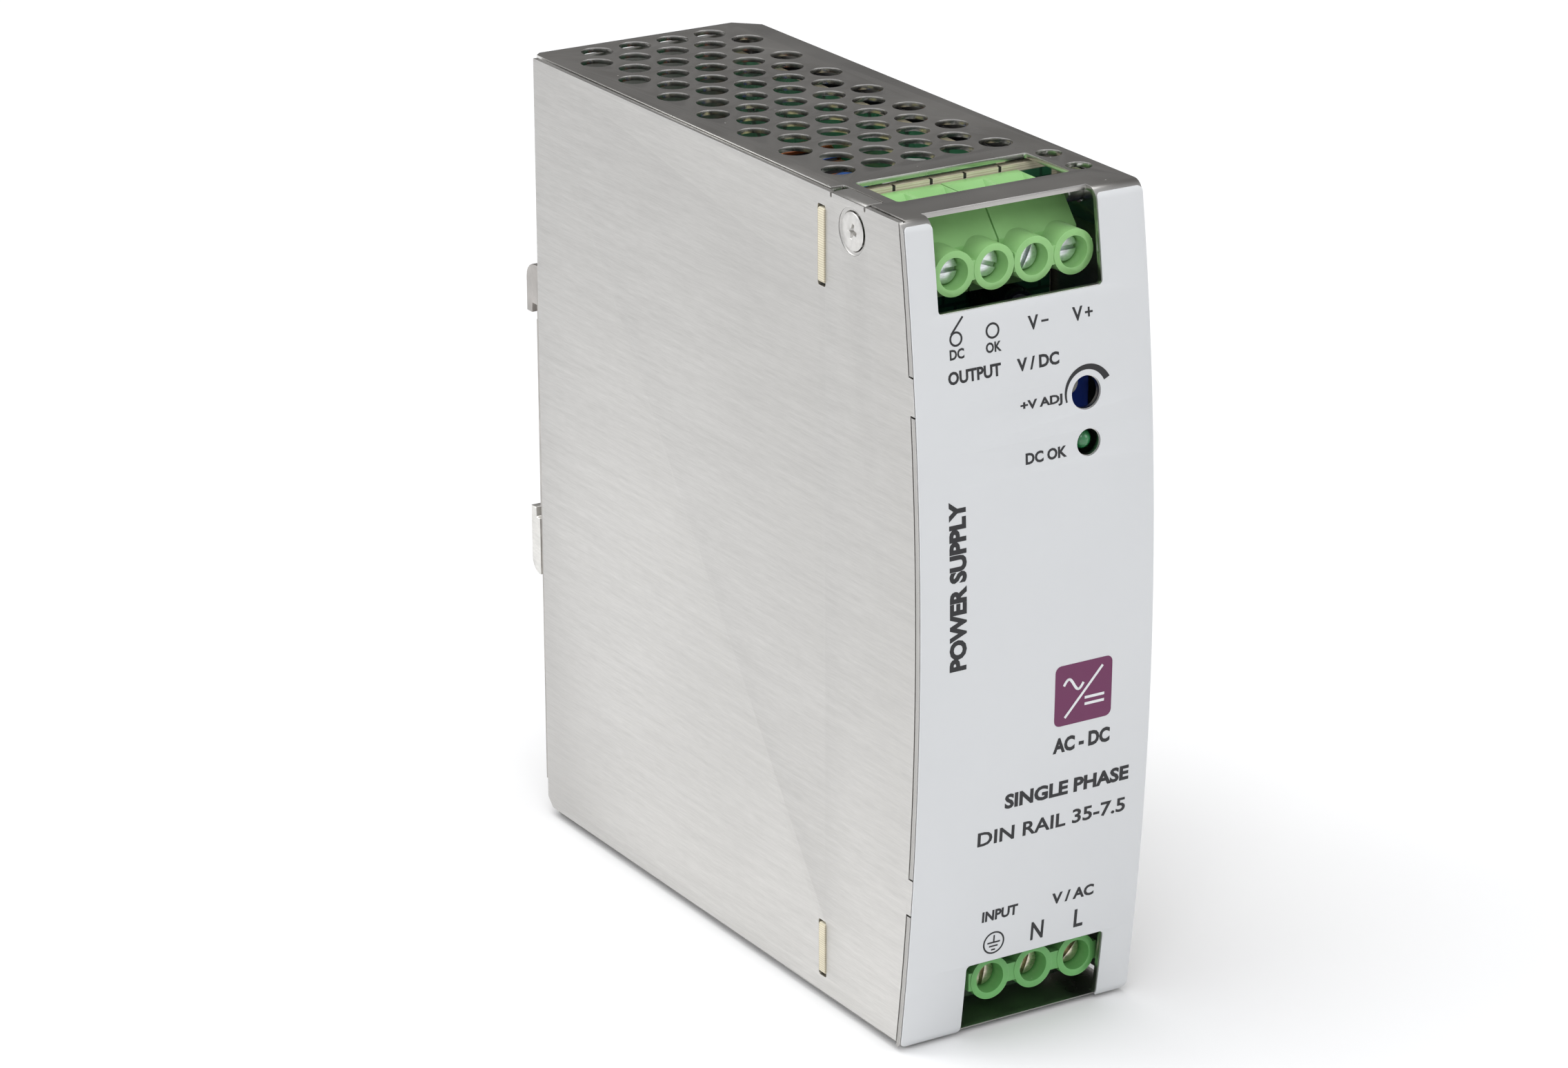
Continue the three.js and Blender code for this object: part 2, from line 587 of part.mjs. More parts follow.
const makeRotor = () => {
  const disc = toSolid(rod('z', trimmer.rotorRadius, [0, trimmer.rotorHeight], [0, 0, 0]));
  const half = [trimmer.rotorRadius * 0.8, slotWidth / 2];
  const depths = [trimmer.rotorHeight - trimmer.slotDepth, trimmer.rotorHeight + 1];
  return cut(disc, [box([-half[0], half[0]], [-half[1], half[1]], depths)]);
};
addPiece(frontBoard, 'trimmer_rotor', makeRotor(), finishes.whitePlastic,
  [adjustHole.x, adjustHole.height, trimmer.height + gap]);

const lightDome = arc([0, light.length - light.radius], light.radius, 0, Math.PI / 2, 4);
addPiece(frontBoard, 'status_led', turned('z', [
  [0, 0], [light.flangeRadius, 0], [light.flangeRadius, light.flange], [light.radius, light.flange],
  ...lightDome.slice(0, -1), [0, light.length],
]), finishes.greenLens, [lightHole.x, lightHole.height, light.spacer + gap]);
addPiece(frontBoard, 'led_spacer', rod('z', light.spacerRadius, [gap, light.spacer], [0, 0, 0], 12),
  finishes.blackPlastic, [lightHole.x, lightHole.height, 0]);
addPiece(frontBoard, 'status_relay', box(relay.x, relay.heights, [gap, relay.height]), finishes.yellowBox);
addPiece(frontBoard, 'front_capacitor', rod('z', 3, [gap, 9.2], [0, 0, 0]), finishes.sleeve, [7, 105.5, 0]);

// ================================================================ parts on the main board
// Heights are above the casing's underside, depths behind the front board's back, lifts off the main board.
const addBoxPart = (name, heights, depths, lift, finish) => {
  addPiece(mainBoard, name, box(heights, depths, [gap, lift]), finish);
};
const addCan = (name, [height, depth], radius, lift, finish) => {
  addPiece(mainBoard, name, rod('z', radius, [gap, lift], [0, 0, 0]), finish, [height, depth, 0]);
};
const addToroid = (name, [height, depth], radius, thickness, finish) => {
  const hole = radius * 0.4;
  const profile = [[hole, 0], [radius, 0], [radius, thickness], [hole, thickness], [hole, 0]];
  addPiece(mainBoard, name, turned('z', profile, [0, 0, 0], 20), finish, [height, depth, gap]);
};
const addDisc = (name, [height, depth], radius, thickness, lift, finish) => {
  const disc = rod('y', radius, [-thickness / 2, thickness / 2], [0, 0, lift]);
  const legs = [-1, 1].map((s) => rod('z', 0.5, [gap, lift], [s * radius * 0.6, 0, 0], 6));
  addPiece(mainBoard, name, join(disc, ...legs), finish, [height, depth, 0]);
};
const belowTop = (drop) => casingHeight - drop;

// Mains side, from the underside up.
addPiece(mainBoard, 'fuse', rod('x', 2.6, [6, 26], [0, 6.2, 3.2]), finishes.ceramic);
addDisc('inrush_thermistor', [14, 15.2], 5.5, 4.5, 7, finishes.blackPlastic);
addDisc('varistor', [14, 22.2], 5, 4, 6.5, finishes.blueCoating);
addBoxPart('x_capacitor', [5, 23], [27.2, 36.2], 15, finishes.yellowBox);
addToroid('line_choke', [16, 48.2], 10, 11, finishes.copper);
addBoxPart('bridge_rectifier', [6, 26], [63.2, 67.2], 16, finishes.blackPlastic);
addCan('bulk_capacitor_1', [40, 14.2], 9, room, finishes.sleeve);
addCan('bulk_capacitor_2', [40, 35.2], 9, room, finishes.sleeve);
addBoxPart('control_chip', [52, 57], [22.2, 26.2], 2, finishes.blackPlastic);
addBoxPart('optocoupler', [52, 56.6], [40.2, 46.7], 3.8, finishes.blackPlastic);

// Output side, from the top down.
addCan('output_capacitor_1', [belowTop(25.2), 22.7], 5, 20, finishes.sleeve);
addCan('output_capacitor_2', [belowTop(25.2), 33.7], 5, 20, finishes.sleeve);
addToroid('output_inductor', [belowTop(19.7), 49.5], 9.5, 11, finishes.copper);

const makeYCapacitor = () => {
  const disc = rod('z', 3.9, [9.4, 13.4], [0, 0, 0]);
  const legs = [-1, 1].map((s) => rod('z', 0.4, [gap, 10], [s * 2.5, 0, 0], 6));
  return join(disc, ...legs);
};
addPiece(mainBoard, 'y_capacitor', makeYCapacitor(), finishes.blueCoating, [belowTop(13.2), 30.7, 0]);

const makeFilterChoke = () => {
  const heights = [belowTop(19), belowTop(6.4)];
  const depths = [14.8, 34.4];
  const legPlaces = [heights[0] + 0.9, heights[1] - 0.9]
    .flatMap((height) => depths.map((depth, i) => [height, depth + (i ? -1.5 : 2.5), 0]));
  const legs = legPlaces.map((place) => rod('z', 0.4, [gap, 16.5], place, 6));
  return join(box(heights, depths, [16, 27]), ...legs);
};
addPiece(mainBoard, 'filter_choke', makeFilterChoke(), finishes.yellowTape);

// A comb: a base plate with fins to finEnd, standing on the board.
const makeHeatSink = (heights, base, finEnd, lift, fins, finSheet) => {
  const strips = Array.from({ length: fins }, (_, i) => {
    const z = gap + ((lift - gap - finSheet) * i) / (fins - 1);
    return box(heights, [Math.min(base[0], finEnd), Math.max(base[1], finEnd)], [z, z + finSheet]);
  });
  return join(box(heights, base, [gap, lift]), ...strips);
};
const sinkLift = 27;
const rearSink = { heights: [34, belowTop(32.2)], base: 3, depth: 20, behind: 4.5, fins: 5, finSheet: 1.6 };
const rearSinkEnd = wallDepth - rearSink.behind;
const rearSinkFace = rearSinkEnd - rearSink.depth;
addPiece(mainBoard, 'primary_heat_sink', makeHeatSink(
  rearSink.heights,
  [rearSinkFace, rearSinkFace + rearSink.base],
  rearSinkEnd,
  sinkLift,
  rearSink.fins,
  rearSink.finSheet,
), finishes.aluminium);
const transistorDepths = [rearSinkFace - 5, rearSinkFace - gap];
addBoxPart('switching_transistor', [44, 60], transistorDepths, 13, finishes.blackPlastic);

const frontSink = {
  heights: [belowTop(30.2), belowTop(7.2)],
  base: [8.7, 11.2],
  finEnd: 4.7,
  fins: 5,
  finSheet: 1.4,
};
addPiece(mainBoard, 'secondary_heat_sink', makeHeatSink(
  frontSink.heights,
  frontSink.base,
  frontSink.finEnd,
  sinkLift,
  frontSink.fins,
  frontSink.finSheet,
), finishes.aluminium);
addBoxPart('output_rectifier', [belowTop(28.2), belowTop(13.2)],
  [frontSink.base[1] + gap, frontSink.base[1] + gap + 4.5], 13, finishes.blackPlastic);

const core = { heights: [belowTop(67.2), belowTop(33.2)], depths: [11.2, 39.2], lift: [8, 19], leg: 5 };
const windingLift = [1, 27];
const makeCore = () => {
  const hole = rectangle(
    [core.heights[0] + core.leg, core.heights[1] - core.leg],
    [core.depths[0] + core.leg, core.depths[1] - core.leg],
  );
  return prism('z', rectangle(core.heights, core.depths), core.lift, [hole]);
};
addPiece(mainBoard, 'transformer_core', makeCore(), finishes.ferrite);
const windingInset = core.leg + gap;
addPiece(mainBoard, 'transformer_winding', box(
  [core.heights[0] + windingInset, core.heights[1] - windingInset],
  [core.depths[0] + windingInset, core.depths[1] - windingInset],
  windingLift,
), finishes.yellowTape);

// ================================================================ rail bracket and latch
const railHalf = railHeight / 2;
const bracketHalf = bracketWidth / 2;
const lipGap = railLip + railClearance + 0.1;
const hookShelf = railHalf + railClearance;
const toothEnd = railHalf - toothOverlap + railClearance;
const bracketFoot = -62;
const tongueFace = gap + tongueSheet;
const guideTop = -(hookShelf + latchNoseHeight + latchTravel + 1.2);
const guideHeight = 6;
const lowerGuideTop = bracketFoot + guideHeight + 4;
const springTop = -34.3;
const lugTop = springTop - springLength;
const lugHeight = 1.4;

const makeBracket = () => {
  const hookTop = hookShelf + hookHeight;
  const hook = [
    [-bracketSheet, hookTop],
    ...arc([hookDepth - hookRounding, hookTop - hookRounding], hookRounding, Math.PI / 2, 0, 5),
    [hookDepth, toothEnd], [lipGap, toothEnd], [lipGap, hookShelf],
    [-seatRise, hookShelf], [-seatRise, seatHalfHeight], [0, seatHalfHeight],
    [0, -seatHalfHeight], [-seatRise, -seatHalfHeight], [-seatRise, bracketFoot],
    [-bracketSheet, bracketFoot],
  ];
  const guides = [guideTop, lowerGuideTop].flatMap((high) => [-1, 1].flatMap((side) => {
    const wall = [side * (tongueWidth / 2 + 0.4), side * (tongueWidth / 2 + 2.4)].sort((a, b) => a - b);
    const lip = [side * (tongueWidth / 2 - 1), side * (tongueWidth / 2 + 2.4)].sort((a, b) => a - b);
    const z = [high - guideHeight, high];
    return [
      box(wall, [-bracketSheet / 2, tongueFace + gap + 0.1], z),
      box(lip, [tongueFace + gap, tongueFace + gap + guideDepth], z),
    ];
  }));
  const lug = box([-1.6, 1.6], [-bracketSheet / 2, 2.4], [lugTop - lugHeight, lugTop]);
  return join(prism('x', hook, [-bracketHalf, bracketHalf]), ...guides, lug);
};
addPiece(casing, 'rail_bracket', makeBracket(), finishes.zinc);

const makeLatch = () => {
  const noseFoot = -(hookShelf + latchNoseHeight);
  const nose = [
    [gap, -hookShelf], [lipGap, -hookShelf], [lipGap, -toothEnd], [hookDepth, -toothEnd],
    ...arc([hookDepth - hookRounding, noseFoot + hookRounding], hookRounding, 0, -Math.PI / 2, 5),
    [gap, noseFoot],
  ];
  const tongue = box([-tongueWidth / 2, tongueWidth / 2], [gap, tongueFace], [tongueEnd, noseFoot + 1]);
  const springWindow = box([-2.4, 2.4], [-1, tongueFace + 1], [lugTop - lugHeight - 2, springTop + gap]);
  const toolSlot = box([-3, 3], [-1, tongueFace + 1], [tongueEnd + 1.5, tongueEnd + 3.5]);
  return cut(join(prism('x', nose, [-bracketHalf, bracketHalf]), tongue), [springWindow, toolSlot]);
};
addPiece(casing, 'latch_slide', makeLatch(), finishes.brushedSteel);

class Helix extends THREE.Curve {
  getPoint(t) {
    const angle = 2 * Math.PI * springTurns * t;
    const rise = springWire / 2 + (springLength - gap - springWire) * t;
    return new THREE.Vector3(springCoilRadius * Math.cos(angle), springCoilRadius * Math.sin(angle), rise);
  }
}
const wireSection = circle([0, 0], springWire / 2, 6).map(([u, v]) => new THREE.Vector2(u, v));
const spring = new THREE.ExtrudeGeometry(new THREE.Shape(wireSection), {
  steps: 10 * springTurns,
  extrudePath: new Helix(),
});
const springDepth = gap + springCoilRadius + springWire / 2;
addPiece(casing, 'latch_spring', spring, finishes.zinc, [0, springDepth, lugTop + gap]);

export default casing;
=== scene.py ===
import math

import bmesh
import bpy
from mathutils import Matrix, Vector


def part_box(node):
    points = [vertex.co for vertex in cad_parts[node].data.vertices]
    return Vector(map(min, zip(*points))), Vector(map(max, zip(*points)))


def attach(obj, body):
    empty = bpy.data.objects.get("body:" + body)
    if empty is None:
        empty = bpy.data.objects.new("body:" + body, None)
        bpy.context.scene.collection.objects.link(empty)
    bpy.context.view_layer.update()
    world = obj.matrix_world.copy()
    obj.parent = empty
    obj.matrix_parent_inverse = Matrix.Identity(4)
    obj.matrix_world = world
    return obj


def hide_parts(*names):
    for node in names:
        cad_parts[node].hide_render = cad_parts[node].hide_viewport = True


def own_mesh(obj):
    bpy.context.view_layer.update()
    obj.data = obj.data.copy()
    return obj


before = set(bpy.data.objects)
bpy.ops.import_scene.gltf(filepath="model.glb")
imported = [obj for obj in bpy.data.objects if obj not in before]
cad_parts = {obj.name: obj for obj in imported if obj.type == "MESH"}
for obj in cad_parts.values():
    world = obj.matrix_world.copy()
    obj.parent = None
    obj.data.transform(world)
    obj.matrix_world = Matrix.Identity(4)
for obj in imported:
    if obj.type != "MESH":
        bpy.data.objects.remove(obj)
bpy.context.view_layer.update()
print("stage: frame loaded")

# Lengths in this script are millimetres. Every finished mesh is scaled to metres once, in makePiece.
metre = 0.001
casing = {"sheet": 0.8, "bulge": 4.8, "gap": 0.3, "bend": 2.0}


def boxOf(node):
    low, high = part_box(node)
    return low / metre, high / metre


def middleOf(node):
    low, high = boxOf(node)
    return (low + high) / 2


wrapLow, wrapHigh = boxOf("face_wrap")
left, right = wrapLow.x, wrapHigh.x
bottom, top = wrapLow.z, wrapHigh.z
middle = (top + bottom) / 2
front = wrapLow.y + casing["bulge"]
rear = boxOf("chassis")[1].y
topEnd = wrapHigh.y
inside = casing["sheet"] + casing["gap"]
plateHalf = right - inside
frontRadius = ((top - bottom) / 2) ** 2 / (2 * casing["bulge"]) + casing["bulge"] / 2
arcCentre = front - casing["bulge"] + frontRadius


def frontFace(z, inset=0.0):
    return arcCentre - math.sqrt((frontRadius - inset) ** 2 - (z - middle) ** 2)


# Outlines, as lists of points in a plane


def arcPoints(centre, radius, fromAngle, toAngle, steps):
    points = []
    for i in range(steps + 1):
        angle = fromAngle + (toAngle - fromAngle) * i / steps
        points.append((centre[0] + radius * math.cos(angle), centre[1] + radius * math.sin(angle)))
    return points


def circlePoints(centre, radius, steps=32):
    return arcPoints(centre, radius, 0, 2 * math.pi, steps)[:-1]


def rectanglePoints(u, v):
    return [(u[0], v[0]), (u[1], v[0]), (u[1], v[1]), (u[0], v[1])]


def roundCorners(points, radii, steps=5):
    # radii is one number, or one for each corner
    made = []
    count = len(points)
    for i, point in enumerate(points):
        radius = radii[i] if isinstance(radii, (list, tuple)) else radii
        corner = Vector(point)
        back = (Vector(points[i - 1]) - corner).normalized()
        ahead = (Vector(points[(i + 1) % count]) - corner).normalized()
        opening = back.angle(ahead)
        if radius <= 0 or opening > math.pi - 1e-3:
            made.append(tuple(point))
            continue
        reach = radius / math.tan(opening / 2)
        centre = corner + (back + ahead).normalized() * (radius / math.sin(opening / 2))
        start = corner + back * reach - centre
        turn = start.angle_signed(corner + ahead * reach - centre)
        for step in range(steps + 1):
            spoke = start.copy()
            spoke.rotate(Matrix.Rotation(-turn * step / steps, 2))
            made.append(tuple(centre + spoke))
    return made


# Shapes


def placeOutline(axis, point, along):
    u, v = point
    return {"x": (along, u, v), "y": (u, along, v), "z": (u, v, along)}[axis]


turnAxes = {"x": Vector((1, 0, 0)), "y": Vector((0, 1, 0)), "z": Vector((0, 0, 1))}


def prism(axis, points, span):
    shape = bmesh.new()
    shape.faces.new([shape.verts.new(placeOutline(axis, p, span[0])) for p in points])
    raised = bmesh.ops.extrude_face_region(shape, geom=shape.faces[:])["geom"]
    bmesh.ops.translate(shape, verts=[v for v in raised if isinstance(v, bmesh.types.BMVert)],
                        vec=turnAxes[axis] * (span[1] - span[0]))
    bmesh.ops.recalc_face_normals(shape, faces=shape.faces)
    return shape


def block(x, y, z):
    shape = bmesh.new()
    bmesh.ops.create_cube(shape, size=1)
    bmesh.ops.scale(shape, verts=shape.verts, vec=(x[1] - x[0], y[1] - y[0], z[1] - z[0]))
    bmesh.ops.translate(shape, verts=shape.verts,
                        vec=((x[1] + x[0]) / 2, (y[1] + y[0]) / 2, (z[1] + z[0]) / 2))
    return shape


def turned(axis, profile, at=(0, 0, 0), steps=48):
    # profile is (radius, distance along the axis), from end to end
    shape = bmesh.new()
    side = turnAxes[{"x": "y", "y": "x", "z": "x"}[axis]]
    verts = [shape.verts.new(turnAxes[axis] * along + side * radius) for radius, along in profile]
    edges = [shape.edges.new(pair) for pair in zip(verts, verts[1:])]
    bmesh.ops.spin(shape, geom=verts + edges, cent=(0, 0, 0), axis=turnAxes[axis], dvec=(0, 0, 0),
                   angle=2 * math.pi, steps=steps, use_merge=True, use_duplicate=False)
    bmesh.ops.remove_doubles(shape, verts=shape.verts, dist=1e-4)
    bmesh.ops.recalc_face_normals(shape, faces=shape.faces)
    bmesh.ops.translate(shape, verts=shape.verts, vec=at)
    return shape


def rod(axis, radius, span, at=(0, 0, 0), steps=32):
    return turned(axis, [(0, span[0]), (radius, span[0]), (radius, span[1]), (0, span[1])], at, steps)


def place(shape, at=(0, 0, 0), turn=0, about="z"):
    if turn:
        bmesh.ops.rotate(shape, verts=shape.verts, cent=(0, 0, 0),
                         matrix=Matrix.Rotation(math.radians(turn), 3, about.upper()))
    bmesh.ops.translate(shape, verts=shape.verts, vec=at)
    return shape


def merge(shapes):
    whole = bmesh.new()
    for shape in shapes:
        mesh = bpy.data.meshes.new("part")
        shape.to_mesh(mesh)
        whole.from_mesh(mesh)
        bpy.data.meshes.remove(mesh)
        shape.free()
    return whole


def asObject(shape, name):
    mesh = bpy.data.meshes.new(name)
    shape.to_mesh(mesh)
    shape.free()
    item = bpy.data.objects.new(name, mesh)
    bpy.context.scene.collection.objects.link(item)
    return item


def dropObject(item):
    mesh = item.data
    bpy.data.objects.remove(item)
    bpy.data.meshes.remove(mesh)


def combine(base, tools, operation="DIFFERENCE", overlapping=False):
    target = asObject(base, "target")
    tool = asObject(merge(tools), "tool")
    modifier = target.modifiers.new("combine", "BOOLEAN")
    modifier.operation = operation
    modifier.object = tool
    modifier.solver = "EXACT"
    modifier.use_self = overlapping
    bpy.context.view_layer.update()
    made = bpy.data.meshes.new_from_object(target.evaluated_get(bpy.context.evaluated_depsgraph_get()))
    shape = bmesh.new()
    shape.from_mesh(made)
    bpy.data.meshes.remove(made)
    dropObject(tool)
    dropObject(target)
    bmesh.ops.remove_doubles(shape, verts=shape.verts, dist=1e-3)
    bmesh.ops.dissolve_degenerate(shape, dist=1e-3, edges=shape.edges)
    return shape


def unite(first, others):
    for other in others:
        first = combine(first, [other], "UNION")
    return first


def soften(shape, width, segments=2, sharperThan=35):
    limit = math.radians(sharperThan)
    bmesh.ops.dissolve_limit(shape, angle_limit=math.radians(0.3), verts=shape.verts, edges=shape.edges,
                             use_dissolve_boundaries=False)
    edges = [e for e in shape.edges if len(e.link_faces) == 2 and e.calc_face_angle(0) > limit]
    bmesh.ops.bevel(shape, geom=edges, offset=width, offset_type="OFFSET", segments=segments,
                    profile=0.5, affect="EDGES", material=-1, clamp_overlap=True)
    return shape


def checkClosed(shape, name):
    loose = [e for e in shape.edges if len(e.link_faces) != 2]
    if loose:
        print("note:", name, "has", len(loose), "open edges")


def makePiece(name, shape, material, body="casing", replaces=(), sharp=40):
    checkClosed(shape, name)
    item = asObject(shape, name)
    item.data.transform(Matrix.Scale(metre, 4))
    for polygon in item.data.polygons:
        polygon.use_smooth = True
    item.data.set_sharp_from_angle(angle=math.radians(sharp))
    item.data.materials.append(material)
    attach(item, body)
    if replaces:
        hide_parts(*replaces)
    return item


# Shared shader groups


def newGroup(name, inputs, outputs):
    group = bpy.data.node_groups.new(name, "ShaderNodeTree")
    for socketName, kind, value in inputs:
        socket = group.interface.new_socket(name=socketName, in_out="INPUT", socket_type="NodeSocket" + kind)
        if value is not None:
            socket.default_value = value
    for socketName, kind in outputs:
        group.interface.new_socket(name=socketName, in_out="OUTPUT", socket_type="NodeSocket" + kind)
    return group, group.nodes.new("NodeGroupInput"), group.nodes.new("NodeGroupOutput")


def addNode(tree, kind, values=None, **settings):
    node = tree.nodes.new("ShaderNode" + kind)
    for key, value in settings.items():
        setattr(node, key, value)
    for key, value in (values or {}).items():
        if isinstance(value, bpy.types.NodeSocket):
            tree.links.new(value, node.inputs[key])
        else:
            node.inputs[key].default_value = value
    return node


def calculate(tree, operation, a, b=0.0, clamp=False):
    return addNode(tree, "Math", {0: a, 1: b}, operation=operation, use_clamp=clamp).outputs[0]


def remap(tree, value, fromLow, fromHigh, toLow=0.0, toHigh=1.0):
    settings = {"Value": value, "From Min": fromLow, "From Max": fromHigh, "To Min": toLow, "To Max": toHigh}
    return addNode(tree, "MapRange", settings, clamp=True).outputs[0]


def mixColours(tree, factor, a, b, blend="MIX"):
    node = addNode(tree, "Mix", data_type="RGBA", blend_type=blend)
    for socket, value in ((node.inputs[0], factor), (node.inputs[6], a), (node.inputs[7], b)):
        if isinstance(value, bpy.types.NodeSocket):
            tree.links.new(value, socket)
        elif socket.type == "RGBA":
            socket.default_value = (*value, 1)
        else:
            socket.default_value = value
    return node.outputs[2]


def makeGrainGroup():
    # long scratches and short streaks in one direction: the position comes in already stretched
    group, given, result = newGroup("brushedGrain", [("Position", "Vector", None)],
                                    [("Tone", "Float"), ("Height", "Float")])
    fine = addNode(group, "TexNoise", {"Vector": given.outputs[0], "Scale": 1.0, "Detail": 3.0, "Roughness": 0.65})
    coarse = addNode(group, "TexNoise", {"Vector": given.outputs[0], "Scale": 0.23, "Detail": 2.0})
    both = calculate(group, "ADD", calculate(group, "MULTIPLY", fine.outputs[0], 0.62),
                     calculate(group, "MULTIPLY", coarse.outputs[0], 0.38))
    group.links.new(remap(group, both, 0.32, 0.68), result.inputs["Tone"])
    group.links.new(fine.outputs[0], result.inputs["Height"])
    return group


def makeWearGroup():
    # bare, rubbed edges: strongest where a corner is sharp, broken up by noise
    group, given, result = newGroup("edgeWear", [("Position", "Vector", None), ("Width", "Float", 0.0003),
                                                 ("Amount", "Float", 0.7)], [("Mask", "Float")])
    rounded = addNode(group, "Bevel", {"Radius": given.outputs["Width"]}, samples=6)
    flat = addNode(group, "NewGeometry")
    facing = addNode(group, "VectorMath", {0: rounded.outputs[0], 1: flat.outputs["Normal"]},
                     operation="DOT_PRODUCT").outputs["Value"]
    edge = remap(group, facing, 0.985, 0.82)
    patches = addNode(group, "TexNoise", {"Vector": given.outputs["Position"], "Scale": 420.0, "Detail": 4.0})
    broken = remap(group, patches.outputs[0], 0.34, 0.62, 0.35, 1.0)
    mask = calculate(group, "MULTIPLY", calculate(group, "MULTIPLY", edge, broken), given.outputs["Amount"], True)
    group.links.new(mask, result.inputs["Mask"])
    return group


def makeDustGroup():
    # pale specks that lie on faces turned upward
    group, given, result = newGroup("dustSpecks", [("Position", "Vector", None), ("Density", "Float", 700.0),
                                                   ("Amount", "Float", 0.5)], [("Mask", "Float")])
    cells = addNode(group, "TexVoronoi", {"Vector": given.outputs["Position"], "Scale": given.outputs["Density"]},
                    feature="F1")
    dots = remap(group, cells.outputs["Distance"], 0.11, 0.05)
    chance = addNode(group, "SeparateColor", {0: cells.outputs["Color"]}).outputs[0]
    chosen = remap(group, chance, 0.90, 0.93)
    flat = addNode(group, "NewGeometry")
    upward = addNode(group, "SeparateXYZ", {0: flat.outputs["Normal"]}).outputs[2]
    film = addNode(group, "TexNoise", {"Vector": given.outputs["Position"], "Scale": 55.0, "Detail": 5.0})
    haze = remap(group, film.outputs[0], 0.42, 0.78, 0.0, 0.16)
    speckled = calculate(group, "MAXIMUM", calculate(group, "MULTIPLY", dots, chosen), haze)
    settled = calculate(group, "MULTIPLY", speckled, remap(group, upward, 0.3, 0.9, 0.12, 1.0))
    mask = calculate(group, "MULTIPLY", settled, given.outputs["Amount"], True)
    group.links.new(mask, result.inputs["Mask"])
    return group


def makeMottleGroup():
    # uneven colour and the fine pitting of moulded, cast or painted surfaces
    group, given, result = newGroup("mottle", [("Position", "Vector", None), ("Scale", "Float", 120.0)],
                                    [("Tone", "Float"), ("Height", "Float")])
    cloud = addNode(group, "TexNoise", {"Vector": given.outputs["Position"], "Scale": given.outputs["Scale"],
                                        "Detail": 4.0})
    pits = addNode(group, "TexNoise", {"Vector": given.outputs["Position"], "Scale": 5200.0, "Detail": 2.0})
    group.links.new(remap(group, cloud.outputs[0], 0.3, 0.7), result.inputs["Tone"])
    group.links.new(pits.outputs[0], result.inputs["Height"])
    return group


brushedGrain = makeGrainGroup()
edgeWear = makeWearGroup()
dustSpecks = makeDustGroup()
mottle = makeMottleGroup()


def useGroup(tree, group, values):
    node = tree.nodes.new("ShaderNodeGroup")
    node.node_tree = group
    for key, value in values.items():
        if isinstance(value, bpy.types.NodeSocket):
            tree.links.new(value, node.inputs[key])
        else:
            node.inputs[key].default_value = value
    return node.outputs


def scaled(colour, factor):
    return tuple(min(1.0, channel * factor) for channel in colour)


def makeFinish(name, look, paint=None):
    material = bpy.data.materials.new(name)
    material.use_nodes = True
    tree = material.node_tree
    shader = tree.nodes["Principled BSDF"]
    position = addNode(tree, "TexCoord").outputs["Object"]
    colour = look["colour"]
    shader.inputs["Metallic"].default_value = look.get("metal", 0.0)
    shader.inputs["Coat Weight"].default_value = look.get("coat", 0.0)
    shader.inputs["Coat Roughness"].default_value = look.get("coatRough", 0.1)
    shader.inputs["IOR"].default_value = look.get("ior", 1.5)
    cloud = useGroup(tree, mottle, {"Position": position, "Scale": look.get("cloudScale", 90.0)})
    spread = look.get("spread", 0.08)
    base = mixColours(tree, cloud["Tone"], scaled(colour, 1 - spread), scaled(colour, 1 + spread))
    rough = remap(tree, cloud["Tone"], 0, 1, look["rough"] * 0.9, look["rough"] * 1.12)
    height = cloud["Height"]
    if paint:
        base = paint(tree, position, base)
    if "grain" in look:
        stretched = addNode(tree, "Mapping", {"Vector": position, "Scale": look["grain"]}, vector_type="POINT")
        grain = useGroup(tree, brushedGrain, {"Position": stretched.outputs[0]})
        shade = remap(tree, grain["Tone"], 0, 1, 1 - look["tone"], 1 + look["tone"])
        grey = addNode(tree, "CombineColor", {0: shade, 1: shade, 2: shade}).outputs[0]
        base = mixColours(tree, 1.0, base, grey, "MULTIPLY")
        rough = calculate(tree, "MULTIPLY", rough, remap(tree, grain["Tone"], 0, 1, 1.2, 0.82))
        height = grain["Height"]
    if "wear" in look:
        wear = useGroup(tree, edgeWear, {"Position": position, "Width": look.get("wearWidth", 0.00025),
                                         "Amount": look["wear"]})
        base = mixColours(tree, wear["Mask"], base, look.get("wearColour", scaled(colour, 1.6)))
        rough = calculate(tree, "MULTIPLY", rough, remap(tree, wear["Mask"], 0, 1, 1.0, 0.8))
    if "dust" in look:
        dust = useGroup(tree, dustSpecks, {"Position": position, "Amount": look["dust"]})
        base = mixColours(tree, dust["Mask"], base, (0.72, 0.71, 0.68))
        rough = calculate(tree, "ADD", rough, calculate(tree, "MULTIPLY", dust["Mask"], 0.5), True)
    tree.links.new(base, shader.inputs["Base Color"])
    tree.links.new(rough, shader.inputs["Roughness"])
    relief = addNode(tree, "Bump", {"Height": height, "Distance": look.get("bump", 0.00001), "Strength": 0.35})
    tree.links.new(relief.outputs[0], shader.inputs["Normal"])
    return material


def facingParts(tree):
    return addNode(tree, "SeparateXYZ", {0: addNode(tree, "NewGeometry").outputs["Normal"]}).outputs


def paintCutWalls(tree, position, base):
    # the cut walls of the holes and slots are brighter than the rolled faces
    level = calculate(tree, "ABSOLUTE", facingParts(tree)[2])
    depth = addNode(tree, "SeparateXYZ", {0: position}).outputs[1]
    wall = remap(tree, level, 0.75, 0.45)
    behindBend = remap(tree, depth, (front + 6) * metre, (front + 7) * metre)
    return mixColours(tree, calculate(tree, "MULTIPLY", wall, behindBend), base, (0.62, 0.61, 0.59))


